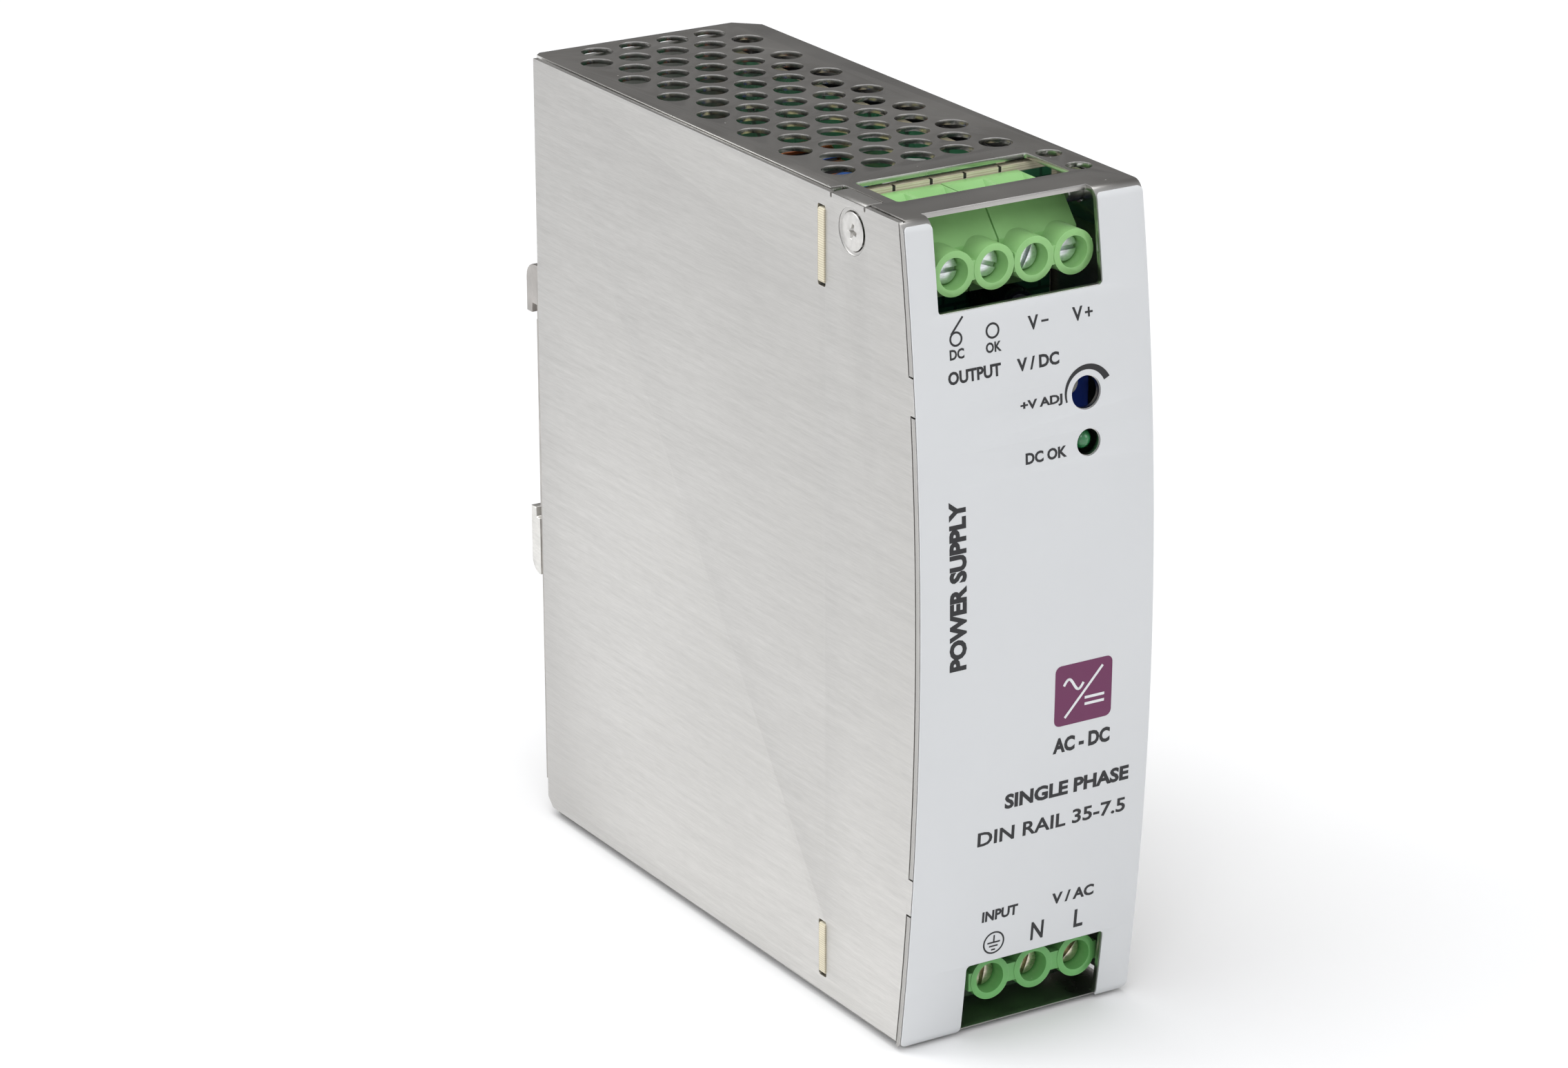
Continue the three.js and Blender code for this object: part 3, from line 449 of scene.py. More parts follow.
def paintTopShade(tree, position, base):
    # painted shade and reflection: the sheet is darker towards its top, standing in for the bright floor it reflects
    # lower down
    height = addNode(tree, "SeparateXYZ", {0: position}).outputs[2]
    reflectionShade = remap(tree, height, (bottom + 10) * metre, (top - 30) * metre, 0.0, 0.34)
    return mixColours(tree, reflectionShade, base, (0.30, 0.295, 0.285))


# Metals
darkSheet = makeFinish("darkSheet", {
    "colour": (0.43, 0.42, 0.405), "metal": 1.0, "rough": 0.26, "spread": 0.05, "grain": (60, 14, 60),
    "tone": 0.05, "bump": 0.000004, "wear": 0.8, "wearWidth": 0.00018, "wearColour": (0.80, 0.79, 0.77),
    "dust": 0.85}, paintCutWalls)
# the side cover and chassis carry painted shade, darker towards their top
coverSheet = makeFinish("coverSheet", {
    "colour": (0.635, 0.625, 0.605), "metal": 1.0, "rough": 0.36, "spread": 0.06, "cloudScale": 14,
    "grain": (500, 300, 6500), "tone": 0.075, "bump": 0.000004, "wear": 0.6, "wearColour": (0.86, 0.85, 0.83), "dust": 0.2}, paintTopShade)
zincScrew = makeFinish("zincScrew", {
    "colour": (0.78, 0.80, 0.83), "metal": 1.0, "rough": 0.34, "spread": 0.14, "cloudScale": 900,
    "grain": (900, 900, 7000), "tone": 0.2, "bump": 0.00001, "wear": 0.7, "wearColour": (0.9, 0.9, 0.88)})
paleScrew = makeFinish("paleScrew", {
    "colour": (0.63, 0.62, 0.60), "metal": 1.0, "rough": 0.32, "spread": 0.12, "cloudScale": 900,
    "bump": 0.00001, "wear": 0.7, "wearColour": (0.85, 0.84, 0.82)})
yellowScrew = makeFinish("yellowScrew", {
    "colour": (0.66, 0.60, 0.48), "metal": 1.0, "rough": 0.3, "spread": 0.2, "cloudScale": 900,
    "grain": (900, 900, 6000), "tone": 0.28, "bump": 0.00001, "wear": 0.7, "wearColour": (0.86, 0.82, 0.72)})
nickel = makeFinish("nickel", {
    "colour": (0.66, 0.63, 0.57), "metal": 1.0, "rough": 0.25, "spread": 0.08, "wear": 0.5,
    "wearColour": (0.85, 0.83, 0.78)})
heatSink = makeFinish("heatSink", {
    "colour": (0.55, 0.55, 0.56), "metal": 1.0, "rough": 0.42, "spread": 0.05, "grain": (2500, 2500, 200),
    "tone": 0.12, "bump": 0.00001, "wear": 0.5, "wearColour": (0.8, 0.8, 0.8)})
zincPlate = makeFinish("zincPlate", {
    "colour": (0.44, 0.42, 0.40), "metal": 1.0, "rough": 0.36, "spread": 0.14, "cloudScale": 260,
    "grain": (1500, 500, 260), "tone": 0.1, "bump": 0.000008, "wear": 0.7, "wearColour": (0.84, 0.83, 0.8),
    "dust": 0.3})
latchMetal = makeFinish("latchMetal", {
    "colour": (0.72, 0.71, 0.68), "metal": 1.0, "rough": 0.3, "spread": 0.08, "cloudScale": 260,
    "grain": (260, 500, 2600), "tone": 0.1, "bump": 0.000008, "wear": 0.7, "wearColour": (0.9, 0.89, 0.86)})
springSteel = makeFinish("springSteel", {
    "colour": (0.5, 0.5, 0.5), "metal": 1.0, "rough": 0.28, "spread": 0.1, "cloudScale": 700})
copperWinding = makeFinish("copperWinding", {
    "colour": (0.52, 0.17, 0.06), "metal": 0.85, "rough": 0.28, "spread": 0.14, "cloudScale": 500, "coat": 0.6})

# Plastics, laminates and coatings
labelFilm = makeFinish("labelFilm", {
    "colour": (0.605, 0.615, 0.625), "rough": 0.42, "spread": 0.015, "cloudScale": 40, "bump": 0.000004,
    "wear": 0.35, "wearColour": (0.82, 0.83, 0.84)})
outputGreen = makeFinish("outputGreen", {
    "colour": (0.25, 0.50, 0.18), "rough": 0.38, "spread": 0.07, "cloudScale": 160, "bump": 0.00002,
    "wear": 0.4, "wearColour": (0.42, 0.72, 0.34), "dust": 0.25})
inputGreen = makeFinish("inputGreen", {
    "colour": (0.125, 0.365, 0.105), "rough": 0.38, "spread": 0.07, "cloudScale": 160, "bump": 0.00002,
    "wear": 0.4, "wearColour": (0.3, 0.6, 0.25), "dust": 0.2})
bluePlastic = makeFinish("bluePlastic", {
    "colour": (0.02, 0.06, 0.42), "rough": 0.34, "spread": 0.08, "cloudScale": 300, "wear": 0.3,
    "wearColour": (0.12, 0.22, 0.8)})
whitePlastic = makeFinish("whitePlastic", {
    "colour": (0.74, 0.72, 0.66), "rough": 0.42, "spread": 0.05, "cloudScale": 300, "dust": 0.2})
blackPlastic = makeFinish("blackPlastic", {
    "colour": (0.018, 0.018, 0.02), "rough": 0.42, "spread": 0.2, "cloudScale": 300, "bump": 0.00003,
    "wear": 0.35, "wearColour": (0.09, 0.09, 0.09), "dust": 0.3})
yellowPlastic = makeFinish("yellowPlastic", {
    "colour": (0.62, 0.36, 0.03), "rough": 0.4, "spread": 0.07, "cloudScale": 200, "wear": 0.3,
    "wearColour": (0.8, 0.58, 0.2), "dust": 0.25})
insulation = makeFinish("insulation", {
    "colour": (0.012, 0.012, 0.013), "rough": 0.3, "spread": 0.15, "cloudScale": 60, "coat": 0.3})
ceramic = makeFinish("ceramic", {
    "colour": (0.72, 0.68, 0.58), "rough": 0.3, "spread": 0.06, "cloudScale": 400, "coat": 0.5})
blueCoating = makeFinish("blueCoating", {
    "colour": (0.03, 0.13, 0.52), "rough": 0.26, "spread": 0.12, "cloudScale": 500, "coat": 0.6,
    "bump": 0.00005, "dust": 0.2})
ferrite = makeFinish("ferrite", {
    "colour": (0.028, 0.028, 0.03), "rough": 0.6, "spread": 0.25, "cloudScale": 900, "bump": 0.00004,
    "wear": 0.4, "wearColour": (0.11, 0.11, 0.11)})
sleeve = makeFinish("sleeve", {
    "colour": (0.014, 0.016, 0.024), "rough": 0.25, "spread": 0.12, "cloudScale": 200, "coat": 0.35,
    "dust": 0.25})
greenLens = makeFinish("greenLens", {
    "colour": (0.015, 0.17, 0.05), "rough": 0.12, "spread": 0.2, "cloudScale": 700, "coat": 0.8})
printInk = makeFinish("printInk", {"colour": (0.010, 0.010, 0.012), "rough": 0.5, "spread": 0.12,
                                   "cloudScale": 800})
printPurple = makeFinish("printPurple", {"colour": (0.125, 0.016, 0.075), "rough": 0.48, "spread": 0.05,
                                         "cloudScale": 200})
printPale = makeFinish("printPale", {"colour": (0.68, 0.69, 0.70), "rough": 0.45, "spread": 0.03,
                                     "cloudScale": 200})
whiteWire = makeFinish("whiteWire", {"colour": (0.72, 0.72, 0.7), "rough": 0.35, "spread": 0.05})
# painted shade: a near-black filler set into the front board's notches
notchShade = makeFinish("notchShade", {"colour": (0.02, 0.018, 0.015), "rough": 0.6, "spread": 0.2})
solder = makeFinish("solder", {"colour": (0.68, 0.68, 0.67), "metal": 1.0, "rough": 0.22, "spread": 0.1,
                               "cloudScale": 900})


def paintBoard(tree, position, base):
    # green solder mask with fine tracks on the broad faces, bare laminate on the cut edges and the tabs
    across = addNode(tree, "SeparateXYZ", {0: position}).outputs[0]
    broad = remap(tree, calculate(tree, "ABSOLUTE", facingParts(tree)[1]), 0.7, 0.9)
    middlePart = remap(tree, calculate(tree, "ABSOLUTE", across), 0.0186, 0.0184)
    height = addNode(tree, "SeparateXYZ", {0: position}).outputs[2]
    belowEdge = remap(tree, height, (top - 2.5) * metre, (top - 2.6) * metre)
    upright = addNode(tree, "Mapping", {"Vector": position, "Rotation": (math.pi / 2, 0, 0), "Scale": (120, 120, 120)})
    cells = addNode(tree, "TexBrick", {"Vector": upright.outputs[0], "Scale": 1.0, "Mortar Size": 0.03})
    tracks = mixColours(tree, cells.outputs["Fac"], (0.02, 0.13, 0.06), (0.008, 0.06, 0.028))
    weave = addNode(tree, "TexWave", {"Vector": position, "Scale": 900.0, "Distortion": 1.5},
                    wave_type="BANDS", bands_direction="Z").outputs["Fac"]
    edge = mixColours(tree, remap(tree, weave, 0, 1, 0.0, 0.5), base, (0.36, 0.29, 0.16))
    masked = calculate(tree, "MULTIPLY", calculate(tree, "MULTIPLY", broad, middlePart), belowEdge)
    return mixColours(tree, masked, edge, tracks)


laminate = makeFinish("laminate", {
    "colour": (0.74, 0.69, 0.54), "rough": 0.5, "spread": 0.09, "cloudScale": 350, "bump": 0.00001,
    "wear": 0.3, "wearColour": (0.8, 0.76, 0.62)}, paintBoard)


def paintMask(tree, position, base):
    # main board: solder mask over wide copper areas, with the laminate showing at the cut edge
    broad = remap(tree, calculate(tree, "ABSOLUTE", facingParts(tree)[0]), 0.7, 0.9)
    areas = addNode(tree, "TexVoronoi", {"Vector": position, "Scale": 95.0, "Randomness": 0.7},
                    feature="DISTANCE_TO_EDGE")
    islands = remap(tree, areas.outputs[0], 0.03, 0.06)
    tracks = mixColours(tree, islands, (0.006, 0.045, 0.02), base)
    return mixColours(tree, broad, (0.5, 0.45, 0.3), tracks)


boardMask = makeFinish("boardMask", {
    "colour": (0.02, 0.15, 0.065), "rough": 0.28, "spread": 0.15, "cloudScale": 150, "coat": 0.3,
    "dust": 0.3}, paintMask)


def paintTape(tree, position, base):
    # overlapping turns of polyester tape
    bands = addNode(tree, "TexWave", {"Vector": position, "Scale": 42.0, "Distortion": 0.6, "Detail": 1.0},
                    wave_type="BANDS", bands_direction="X", wave_profile="SAW").outputs["Fac"]
    return mixColours(tree, remap(tree, bands, 0.9, 1.0, 0.0, 0.75), base, (0.42, 0.33, 0.09))


yellowTape = makeFinish("yellowTape", {
    "colour": (0.78, 0.74, 0.34), "rough": 0.33, "spread": 0.07, "cloudScale": 200, "coat": 0.4, "dust": 0.3},
    paintTape)
print("stage: finishes made")


# Camera, floor and lights

view = {"place": (-0.3939, -0.6865, 0.2651), "azimuth": -31.45, "down": 20.08, "roll": -0.23, "lens": 120.44}
camera = bpy.data.objects.new("camera", bpy.data.cameras.new("camera"))
camera.data.sensor_width = 36
camera.data.lens = view["lens"]
camera.data.clip_start = 0.05
turn = (Matrix.Rotation(math.radians(view["azimuth"]), 4, "Z")
        @ Matrix.Rotation(math.radians(90 - view["down"]), 4, "X")
        @ Matrix.Rotation(math.radians(view["roll"]), 4, "Z"))
camera.matrix_world = Matrix.Translation(view["place"]) @ turn
bpy.context.scene.collection.objects.link(camera)
bpy.context.scene.camera = camera
bpy.context.scene.view_settings.view_transform = "Standard"


def makeFloor():
    look = {"size": 14.0, "drop": 0.0004, "colour": (0.9, 0.9, 0.9)}
    shape = bmesh.new()
    bmesh.ops.create_grid(shape, x_segments=1, y_segments=1, size=look["size"] / 2)
    bmesh.ops.translate(shape, verts=shape.verts, vec=(0, 0, bottom * metre - look["drop"]))
    item = asObject(shape, "floor")
    material = bpy.data.materials.new("floor")
    material.use_nodes = True
    material.node_tree.nodes["Principled BSDF"].inputs["Base Color"].default_value = (*look["colour"], 1)
    material.node_tree.nodes["Principled BSDF"].inputs["Roughness"].default_value = 0.9
    item.data.materials.append(material)


makeFloor()

lamps = {
    "keyLamp": {"from": (-0.9, -1.5, 1.7), "size": 1.3, "power": 13},
    "frontLamp": {"from": (1.5, -1.7, 0.9), "size": 1.2, "power": 7},
    "topLamp": {"from": (-0.3, 0.3, 2.2), "size": 1.8, "power": 30},
    "backLamp": {"from": (-1.8, 1.6, 1.0), "size": 1.2, "power": 14},
}
for name, lamp in lamps.items():
    light = bpy.data.objects.new(name, bpy.data.lights.new(name, "AREA"))
    light.data.size = lamp["size"]
    light.data.energy = lamp["power"]
    start = Vector(lamp["from"])
    aim = (Vector((0, -0.05, 0)) - start).to_track_quat("-Z", "Y").to_matrix().to_4x4()
    light.matrix_world = Matrix.Translation(start) @ aim
    bpy.context.scene.collection.objects.link(light)

sky = {"open": (0.74, 0.75, 0.77), "shade": (0.27, 0.265, 0.26), "towards": (0.5, 0.78, 0.38), "strength": 0.9}
world = bpy.data.worlds.new("studio")
bpy.context.scene.world = world
world.use_nodes = True
skyTree = world.node_tree
direction = addNode(skyTree, "TexCoord").outputs["Generated"]
# one dark side of the room, behind and to the right, for the upper plate to reflect
facingShade = addNode(skyTree, "VectorMath", {0: direction, 1: sky["towards"]}, operation="DOT_PRODUCT")
shaded = remap(skyTree, facingShade.outputs["Value"], 0.25, 0.85)
room = mixColours(skyTree, shaded, sky["open"], sky["shade"])
skyTree.links.new(room, skyTree.nodes["Background"].inputs["Color"])
skyTree.nodes["Background"].inputs["Strength"].default_value = sky["strength"]
print("stage: camera, floor and lights")


# Front sheet, bent over the top and the underside

wrap = {"holeDiameter": 5.0, "holePitch": 6.7, "rowPitch": 5.77, "rows": 14, "firstRow": 6.9, "edge": 0.11,
        "boardDepth": 20.2, "tabs": ((22.4, 27.9), (98, 103.4)), "foldDepths": (10, 18.3), "foldWidth": 3,
        "chamfers": (1, 3.5), "outputDrop": 13.5, "inputRise": 11.5}
screws = {"depth": 13, "drop": 4.5, "angles": (0, -20, 65, 0, 80, 70, 45)}
outputX = [middleOf("clamp_cage_%d" % i).x for i in (1, 2, 3, 4)]
inputX = [middleOf("clamp_cage_%d" % i).x for i in (5, 6, 7)]
boardFront = boxOf("front_board")[0].y
outputZ = middleOf("clamp_cage_1").z
inputZ = middleOf("clamp_cage_5").z
blocksLow = boxOf("output_block_left")[0].x
blocksHigh = boxOf("output_block_right")[1].x
inputLow, inputHigh = boxOf("input_block")[0].x, boxOf("input_block")[1].x
outputWindow = (blocksLow - 1.2, blocksHigh - 0.2)
outputSlot = (blocksLow - 0.85, blocksHigh + 1.7)
inputWindow = (inputLow - 2.2, inputHigh - 0.8)
adjust = {"x": middleOf("trimmer_rotor").x, "z": middleOf("trimmer_rotor").z, "radius": 2.4}
lightHole = {"x": middleOf("status_led").x, "z": middleOf("status_led").z, "radius": 1.925}


def bendFrame():
    bendZ = top - casing["bend"]
    bendY = arcCentre - math.sqrt((frontRadius - casing["bend"]) ** 2 - (bendZ - middle) ** 2)
    return bendY, bendZ, math.atan2(bendZ - middle, bendY - arcCentre)


def casingPath(inset, upperEnd, lowerEnd):
    bendY, bendZ, angle = bendFrame()
    radius = casing["bend"] - inset
    face = arcPoints((arcCentre, middle), frontRadius - inset, angle, 2 * math.pi - angle, 72)
    return ([(upperEnd, top - inset)] + arcPoints((bendY, bendZ), radius, math.pi / 2, angle, 8) + face[1:]
            + arcPoints((bendY, 2 * middle - bendZ), radius, 2 * math.pi - angle, 1.5 * math.pi, 8)[1:]
            + [(lowerEnd, bottom + inset)])


def frontCurve(inset, spill):
    radius = frontRadius - inset
    half = math.asin(((top - bottom) / 2 + spill) / radius)
    return arcPoints((arcCentre, middle), radius, math.pi - half, math.pi + half, 72)


def holeTools():
    tools = []
    for row in range(wrap["rows"]):
        count = 5 - row % 2
        for i in range(count):
            centre = ((i - (count - 1) / 2) * wrap["holePitch"],
                      boardFront + wrap["firstRow"] + row * wrap["rowPitch"])
            tools.append(prism("z", circlePoints(centre, wrap["holeDiameter"] / 2, 28), (bottom - 1, top + 1)))
    return tools


def makeWrap():
    lowerEnd = rear - 2.2
    shape = prism("x", casingPath(0, topEnd, lowerEnd) + casingPath(casing["sheet"], topEnd, lowerEnd)[::-1],
                  (left, right))
    ears = []
    for side in (-1, 1):
        x = sorted((side * plateHalf, side * (plateHalf - casing["sheet"])))
        z = (top - inside - 7.3, top - inside)
        outline = roundCorners([(frontFace(z[0]) + 0.4, z[0]), (front + 17, z[0]), (front + 17, z[1]),
                                (frontFace(z[1]) + 0.4, z[1])], [0, 1.5, 0, 0])
        ears.append(prism("x", outline, x))
    behind = frontCurve(casing["sheet"] + 0.01, 2) + [(rear + 5, bottom - 2), (rear + 5, top + 2)]
    lowerHalf = [p for p in behind[:-1] if p[1] < middle] + [(rear + 5, middle)]
    sides = [prism("x", behind, (left - 1, -plateHalf)), prism("x", lowerHalf, (plateHalf, right + 1))]
    shape = combine(shape, sides)
    shape = unite(shape, ears)
    tools = holeTools()
    for side, edge, size in ((-1, -plateHalf, wrap["chamfers"][0]), (1, right, wrap["chamfers"][1])):
        tools.append(prism("z", [(edge - side * size, topEnd + 1), (edge + side, topEnd + 1),
                                 (edge + side, topEnd - size), (edge, topEnd - size),
                                 (edge - side * size, topEnd)], (top - 2, top + 1)))
        x = sorted((side * (right + 1), side * plateHalf))
        for low, high in wrap["tabs"]:
            tools.append(block(x, (front - 9, front + 9), (bottom + low - 0.3, bottom + high + 0.3)))
    fold = wrap["foldDepths"]
    notch = roundCorners(rectanglePoints((-plateHalf - 1, left + wrap["foldWidth"] + 0.3),
                                         (front + fold[0] - 0.3, front + fold[1] + 2)), [0, 0.5, 0.5, 0])
    tools.append(prism("z", notch, (top - 1, top + 1)))
    upper = roundCorners(rectanglePoints(outputWindow, (top - wrap["outputDrop"], top + 3)), 0.5)
    lower = roundCorners(rectanglePoints(inputWindow, (bottom + casing["sheet"], bottom + wrap["inputRise"])), [0, 0, 0.5, 0.5])
    tools.append(prism("y", upper, (front - 9, front + 2.5)))
    tools.append(prism("y", lower, (front - 9, front + 2.5)))
    slot = (front + 8.9, boardFront + 0.1)
    tools.append(prism("z", roundCorners(rectanglePoints(outputSlot, slot), 0.6), (top - 3, top + 1)))
    tools.append(prism("z", roundCorners(rectanglePoints(inputWindow, slot), 0.6), (bottom - 1, bottom + 3)))
    for hole in (adjust, lightHole):
        tools.append(rod("y", hole["radius"], (front - 9, front + 3), (hole["x"], 0, hole["z"]), 40))
    for depth in (10.75, 18.3):
        tools.append(rod("z", 1.95, (top - 2, top + 1), (16.7, front + depth, 0), 32))
    for side in (-1, 1):
        span = sorted((side * (plateHalf - 2), side * (plateHalf + 1)))
        tools.append(rod("x", 1.7, span, (0, front + screws["depth"], top - screws["drop"]), 24))
    shape = combine(shape, tools)
    return soften(shape, wrap["edge"], 2)


makePiece("bentFrontSheet", makeWrap(), darkSheet, replaces=["face_wrap"])
print("stage: front sheet")


# Flat side cover with its folded tab, and the chassis behind and to the right

side = {"topGap": 0.2, "bottomGap": 1.2, "edge": 0.1, "boardTabs": ((4.2, 12.2), (111.2, 122.2)), "slotGap": 0.5,
        "dimple": 3.5, "dimpleDepth": 0.25, "cone": 3.0, "foldRadius": 0.9}


def sideOutline(rearEdge, round=1.5):
    curve = [p for p in frontCurve(inside, -side["topGap"]) if p[1] > bottom + side["bottomGap"]]
    low = bottom + side["bottomGap"]
    return (curve + [(frontFace(low, inside), low), (rearEdge - round, low), (rearEdge, low + round),
                     (rearEdge, top - side["topGap"])])


def sideTabs(span):
    whole = frontCurve(0, 0)
    tabs = []
    for low, high in wrap["tabs"]:
        z0, z1 = bottom + low, bottom + high
        face = [p for p in whole if z0 < p[1] < z1]
        outline = [(frontFace(z1), z1)] + face + [(frontFace(z0), z0), (front + 4, z0), (front + 4, z1)]
        tabs.append(prism("x", outline, span))
    return tabs


def sideTools(span, outward):
    tools = []
    board = (boardFront - 0.25, boxOf("front_board")[1].y + 0.25)
    for low, high in side["boardTabs"]:
        outline = roundCorners(rectanglePoints(board, (bottom + low - side["slotGap"], bottom + high + side["slotGap"])),
                               0.35, 3)
        tools.append(prism("x", outline, (span[0] - 1, span[1] + 1)))
    outer = span[1] if outward > 0 else span[0]
    profile = [(0, 1), (side["dimple"], 1), (side["dimple"], -side["dimpleDepth"] * 0.5),
               (side["dimple"] - 0.3, -side["dimpleDepth"]), (side["cone"], -side["dimpleDepth"]), (2.1, -1.1),
               (2.1, -2), (0, -2)]
    placed = [(radius, outer + outward * out) for radius, out in profile]
    tools.append(turned("x", placed, (0, front + screws["depth"], top - screws["drop"]), 56))
    return tools


def makeSideCover():
    span = (left, left + casing["sheet"])
    shape = prism("x", sideOutline(rear - casing["sheet"]), span)
    shape = unite(shape, sideTabs((span[0] + 0.0005, span[1] - 0.0005)))
    r = side["foldRadius"]
    inner = r - casing["sheet"] + 0.15
    x0, z1 = left, top
    profile = ([(x0 + 0.001, z1 - 4), (x0 + 0.001, z1 - r)] + arcPoints((x0 + r, z1 - r), r - 0.001, math.pi, math.pi / 2, 7)[1:]
               + [(x0 + wrap["foldWidth"], z1), (x0 + wrap["foldWidth"], z1 - casing["sheet"])]
               + arcPoints((x0 + casing["sheet"] + inner, z1 - casing["sheet"] - inner), inner, math.pi / 2, math.pi, 4)
               + [(x0 + casing["sheet"] - 0.001, z1 - 4)])
    fold = prism("y", profile, (front + wrap["foldDepths"][0], front + wrap["foldDepths"][1]))
    shape = unite(shape, [fold])
    # relief cuts at both ends of the fold
    cuts = [block((left - 1, left + 1), (front + wrap["foldDepths"][i] + d[0], front + wrap["foldDepths"][i] + d[1]),
                  (top - 0.9, top + 1)) for i, d in ((0, (-0.5, 0.0)), (1, (0.0, 0.5)))]
    shape = combine(shape, sideTools(span, -1) + cuts)
    return soften(shape, side["edge"], 2)


makePiece("sideCover", makeSideCover(), coverSheet, replaces=["side_cover"])


def makeChassis():
    low, high = bottom + side["bottomGap"], top - side["topGap"]
    thick = casing["sheet"]
    outer = [(right, front - 3), (right, rear), (-plateHalf, rear), (-plateHalf, rear - 8)]
    inner = [(-plateHalf + thick, rear - 8), (-plateHalf + thick, rear - thick), (right - thick, rear - thick),
             (right - thick, front - 3)]
    plan = roundCorners(outer + inner, [0, 1.6, 1.6, 0, 0, 0.8, 0.8, 0], 7)
    shape = prism("z", plan, (low, high))
    curve = frontCurve(inside, 4)
    ahead = [p for p in curve] + [(front - 12, bottom - 4), (front - 12, top + 4)]
    shape = combine(shape, [prism("x", ahead, (right - 3, right + 3))])
    shape = unite(shape, sideTabs((right - thick + 0.0005, right - 0.0005)))
    bendY, bendZ, angle = bendFrame()
    reach = casing["bend"] - inside
    underPlate = [(bendY - 9, bendZ), (bendY - reach, bendZ), (bendY, top - inside), (rear + 3, top - inside),
                  (rear + 3, top + 1), (bendY - 9, top + 1)]
    shape = combine(shape, [prism("x", underPlate, (-right - 1, right + 1))])
    cuts = [
            prism("x", [(rear - 1.5, low - 1), (rear + 1, low - 1), (rear + 1, low + 1.5)], (right - 2.4, right + 1))]
    shape = combine(shape, sideTools((right - thick, right), 1) + cuts)
    return soften(shape, side["edge"], 2)


makePiece("chassisSheet", makeChassis(), coverSheet, replaces=["chassis"])
print("stage: side cover and chassis")


# Front label and its print

label = {"under": 0.1, "film": 0.2, "margin": 0.1, "windowMargin": 0.06, "corner": 1.3, "stripCorner": 0.7,
         "windowCorner": 0.7, "topWrap": 30, "bottomWrap": 48, "inkStart": 0.004, "ink": 0.022}


def labelPath(lift):
    # the front curve and part of both bends
    bendY, bendZ, angle = bendFrame()
    radius = casing["bend"] + lift
    over, under = math.radians(label["topWrap"]), math.radians(label["bottomWrap"])
    lowBend = 2 * math.pi - angle
    return (arcPoints((bendY, bendZ), radius, angle - over, angle, 8)
            + arcPoints((arcCentre, middle), frontRadius + lift, angle, lowBend, 72)[1:]
            + arcPoints((bendY, 2 * middle - bendZ), radius, lowBend, lowBend + under, 10)[1:])


def makeLabel():
    outer, inner = labelPath(label["under"] + label["film"]), labelPath(label["under"])
    labelTop, labelBottom = min(outer[0][1], inner[0][1]), max(outer[-1][1], inner[-1][1])
    x0, x1 = left + label["margin"], right - label["margin"]
    band = prism("x", outer + inner[::-1], (x0 - 0.1, x1 + 0.1))
    a0, a1 = inputWindow[0] - label["windowMargin"], inputWindow[1] + label["windowMargin"]
    b0, b1 = outputWindow[0] - label["windowMargin"], outputWindow[1] + label["windowMargin"]
    sill = top - wrap["outputDrop"] - label["windowMargin"]
    head = bottom + wrap["inputRise"] + label["windowMargin"]
    corners = [(x0, labelBottom), (a0, labelBottom), (a0, head), (a1, head), (a1, labelBottom), (x1, labelBottom),
               (x1, labelTop), (b1, labelTop), (b1, sill), (b0, sill), (b0, labelTop), (x0, labelTop)]
    big, small, window = label["corner"], label["stripCorner"], label["windowCorner"]
    radii = [big, 0.5, window, window, 0.5, big, small, small, window, window, small, small]
    flat = prism("y", roundCorners(corners, radii, 6), (front - 9, front + 9))
    film = combine(band, [flat], "INTERSECT")
    holes = [rod("y", hole["radius"] + 0.1, (front - 9, front + 9), (hole["x"], 0, hole["z"]), 40)
             for hole in (adjust, lightHole)]
    return soften(combine(film, holes), 0.05, 2)


makePiece("frontLabel", makeLabel(), labelFilm, replaces=["front_label"])


def ontoFront(shape):
    # flat print in x and z, 0 to 1 thick in y, laid onto the bowed film
    low = min(v.co.z for v in shape.verts)
    high = max(v.co.z for v in shape.verts)
    steps = int((high - low) / 1.5)
    for i in range(1, steps + 1):
        bmesh.ops.bisect_plane(shape, geom=shape.verts[:] + shape.edges[:] + shape.faces[:],
                               plane_co=(0, 0, low + (high - low) * i / (steps + 1)), plane_no=(0, 0, 1))
    surface = label["under"] + label["film"] + label["inkStart"]
    for vert in shape.verts:
        vert.co.y = frontFace(vert.co.z, -(surface + label["ink"] * vert.co.y))
    bmesh.ops.recalc_face_normals(shape, faces=shape.faces)
    return shape


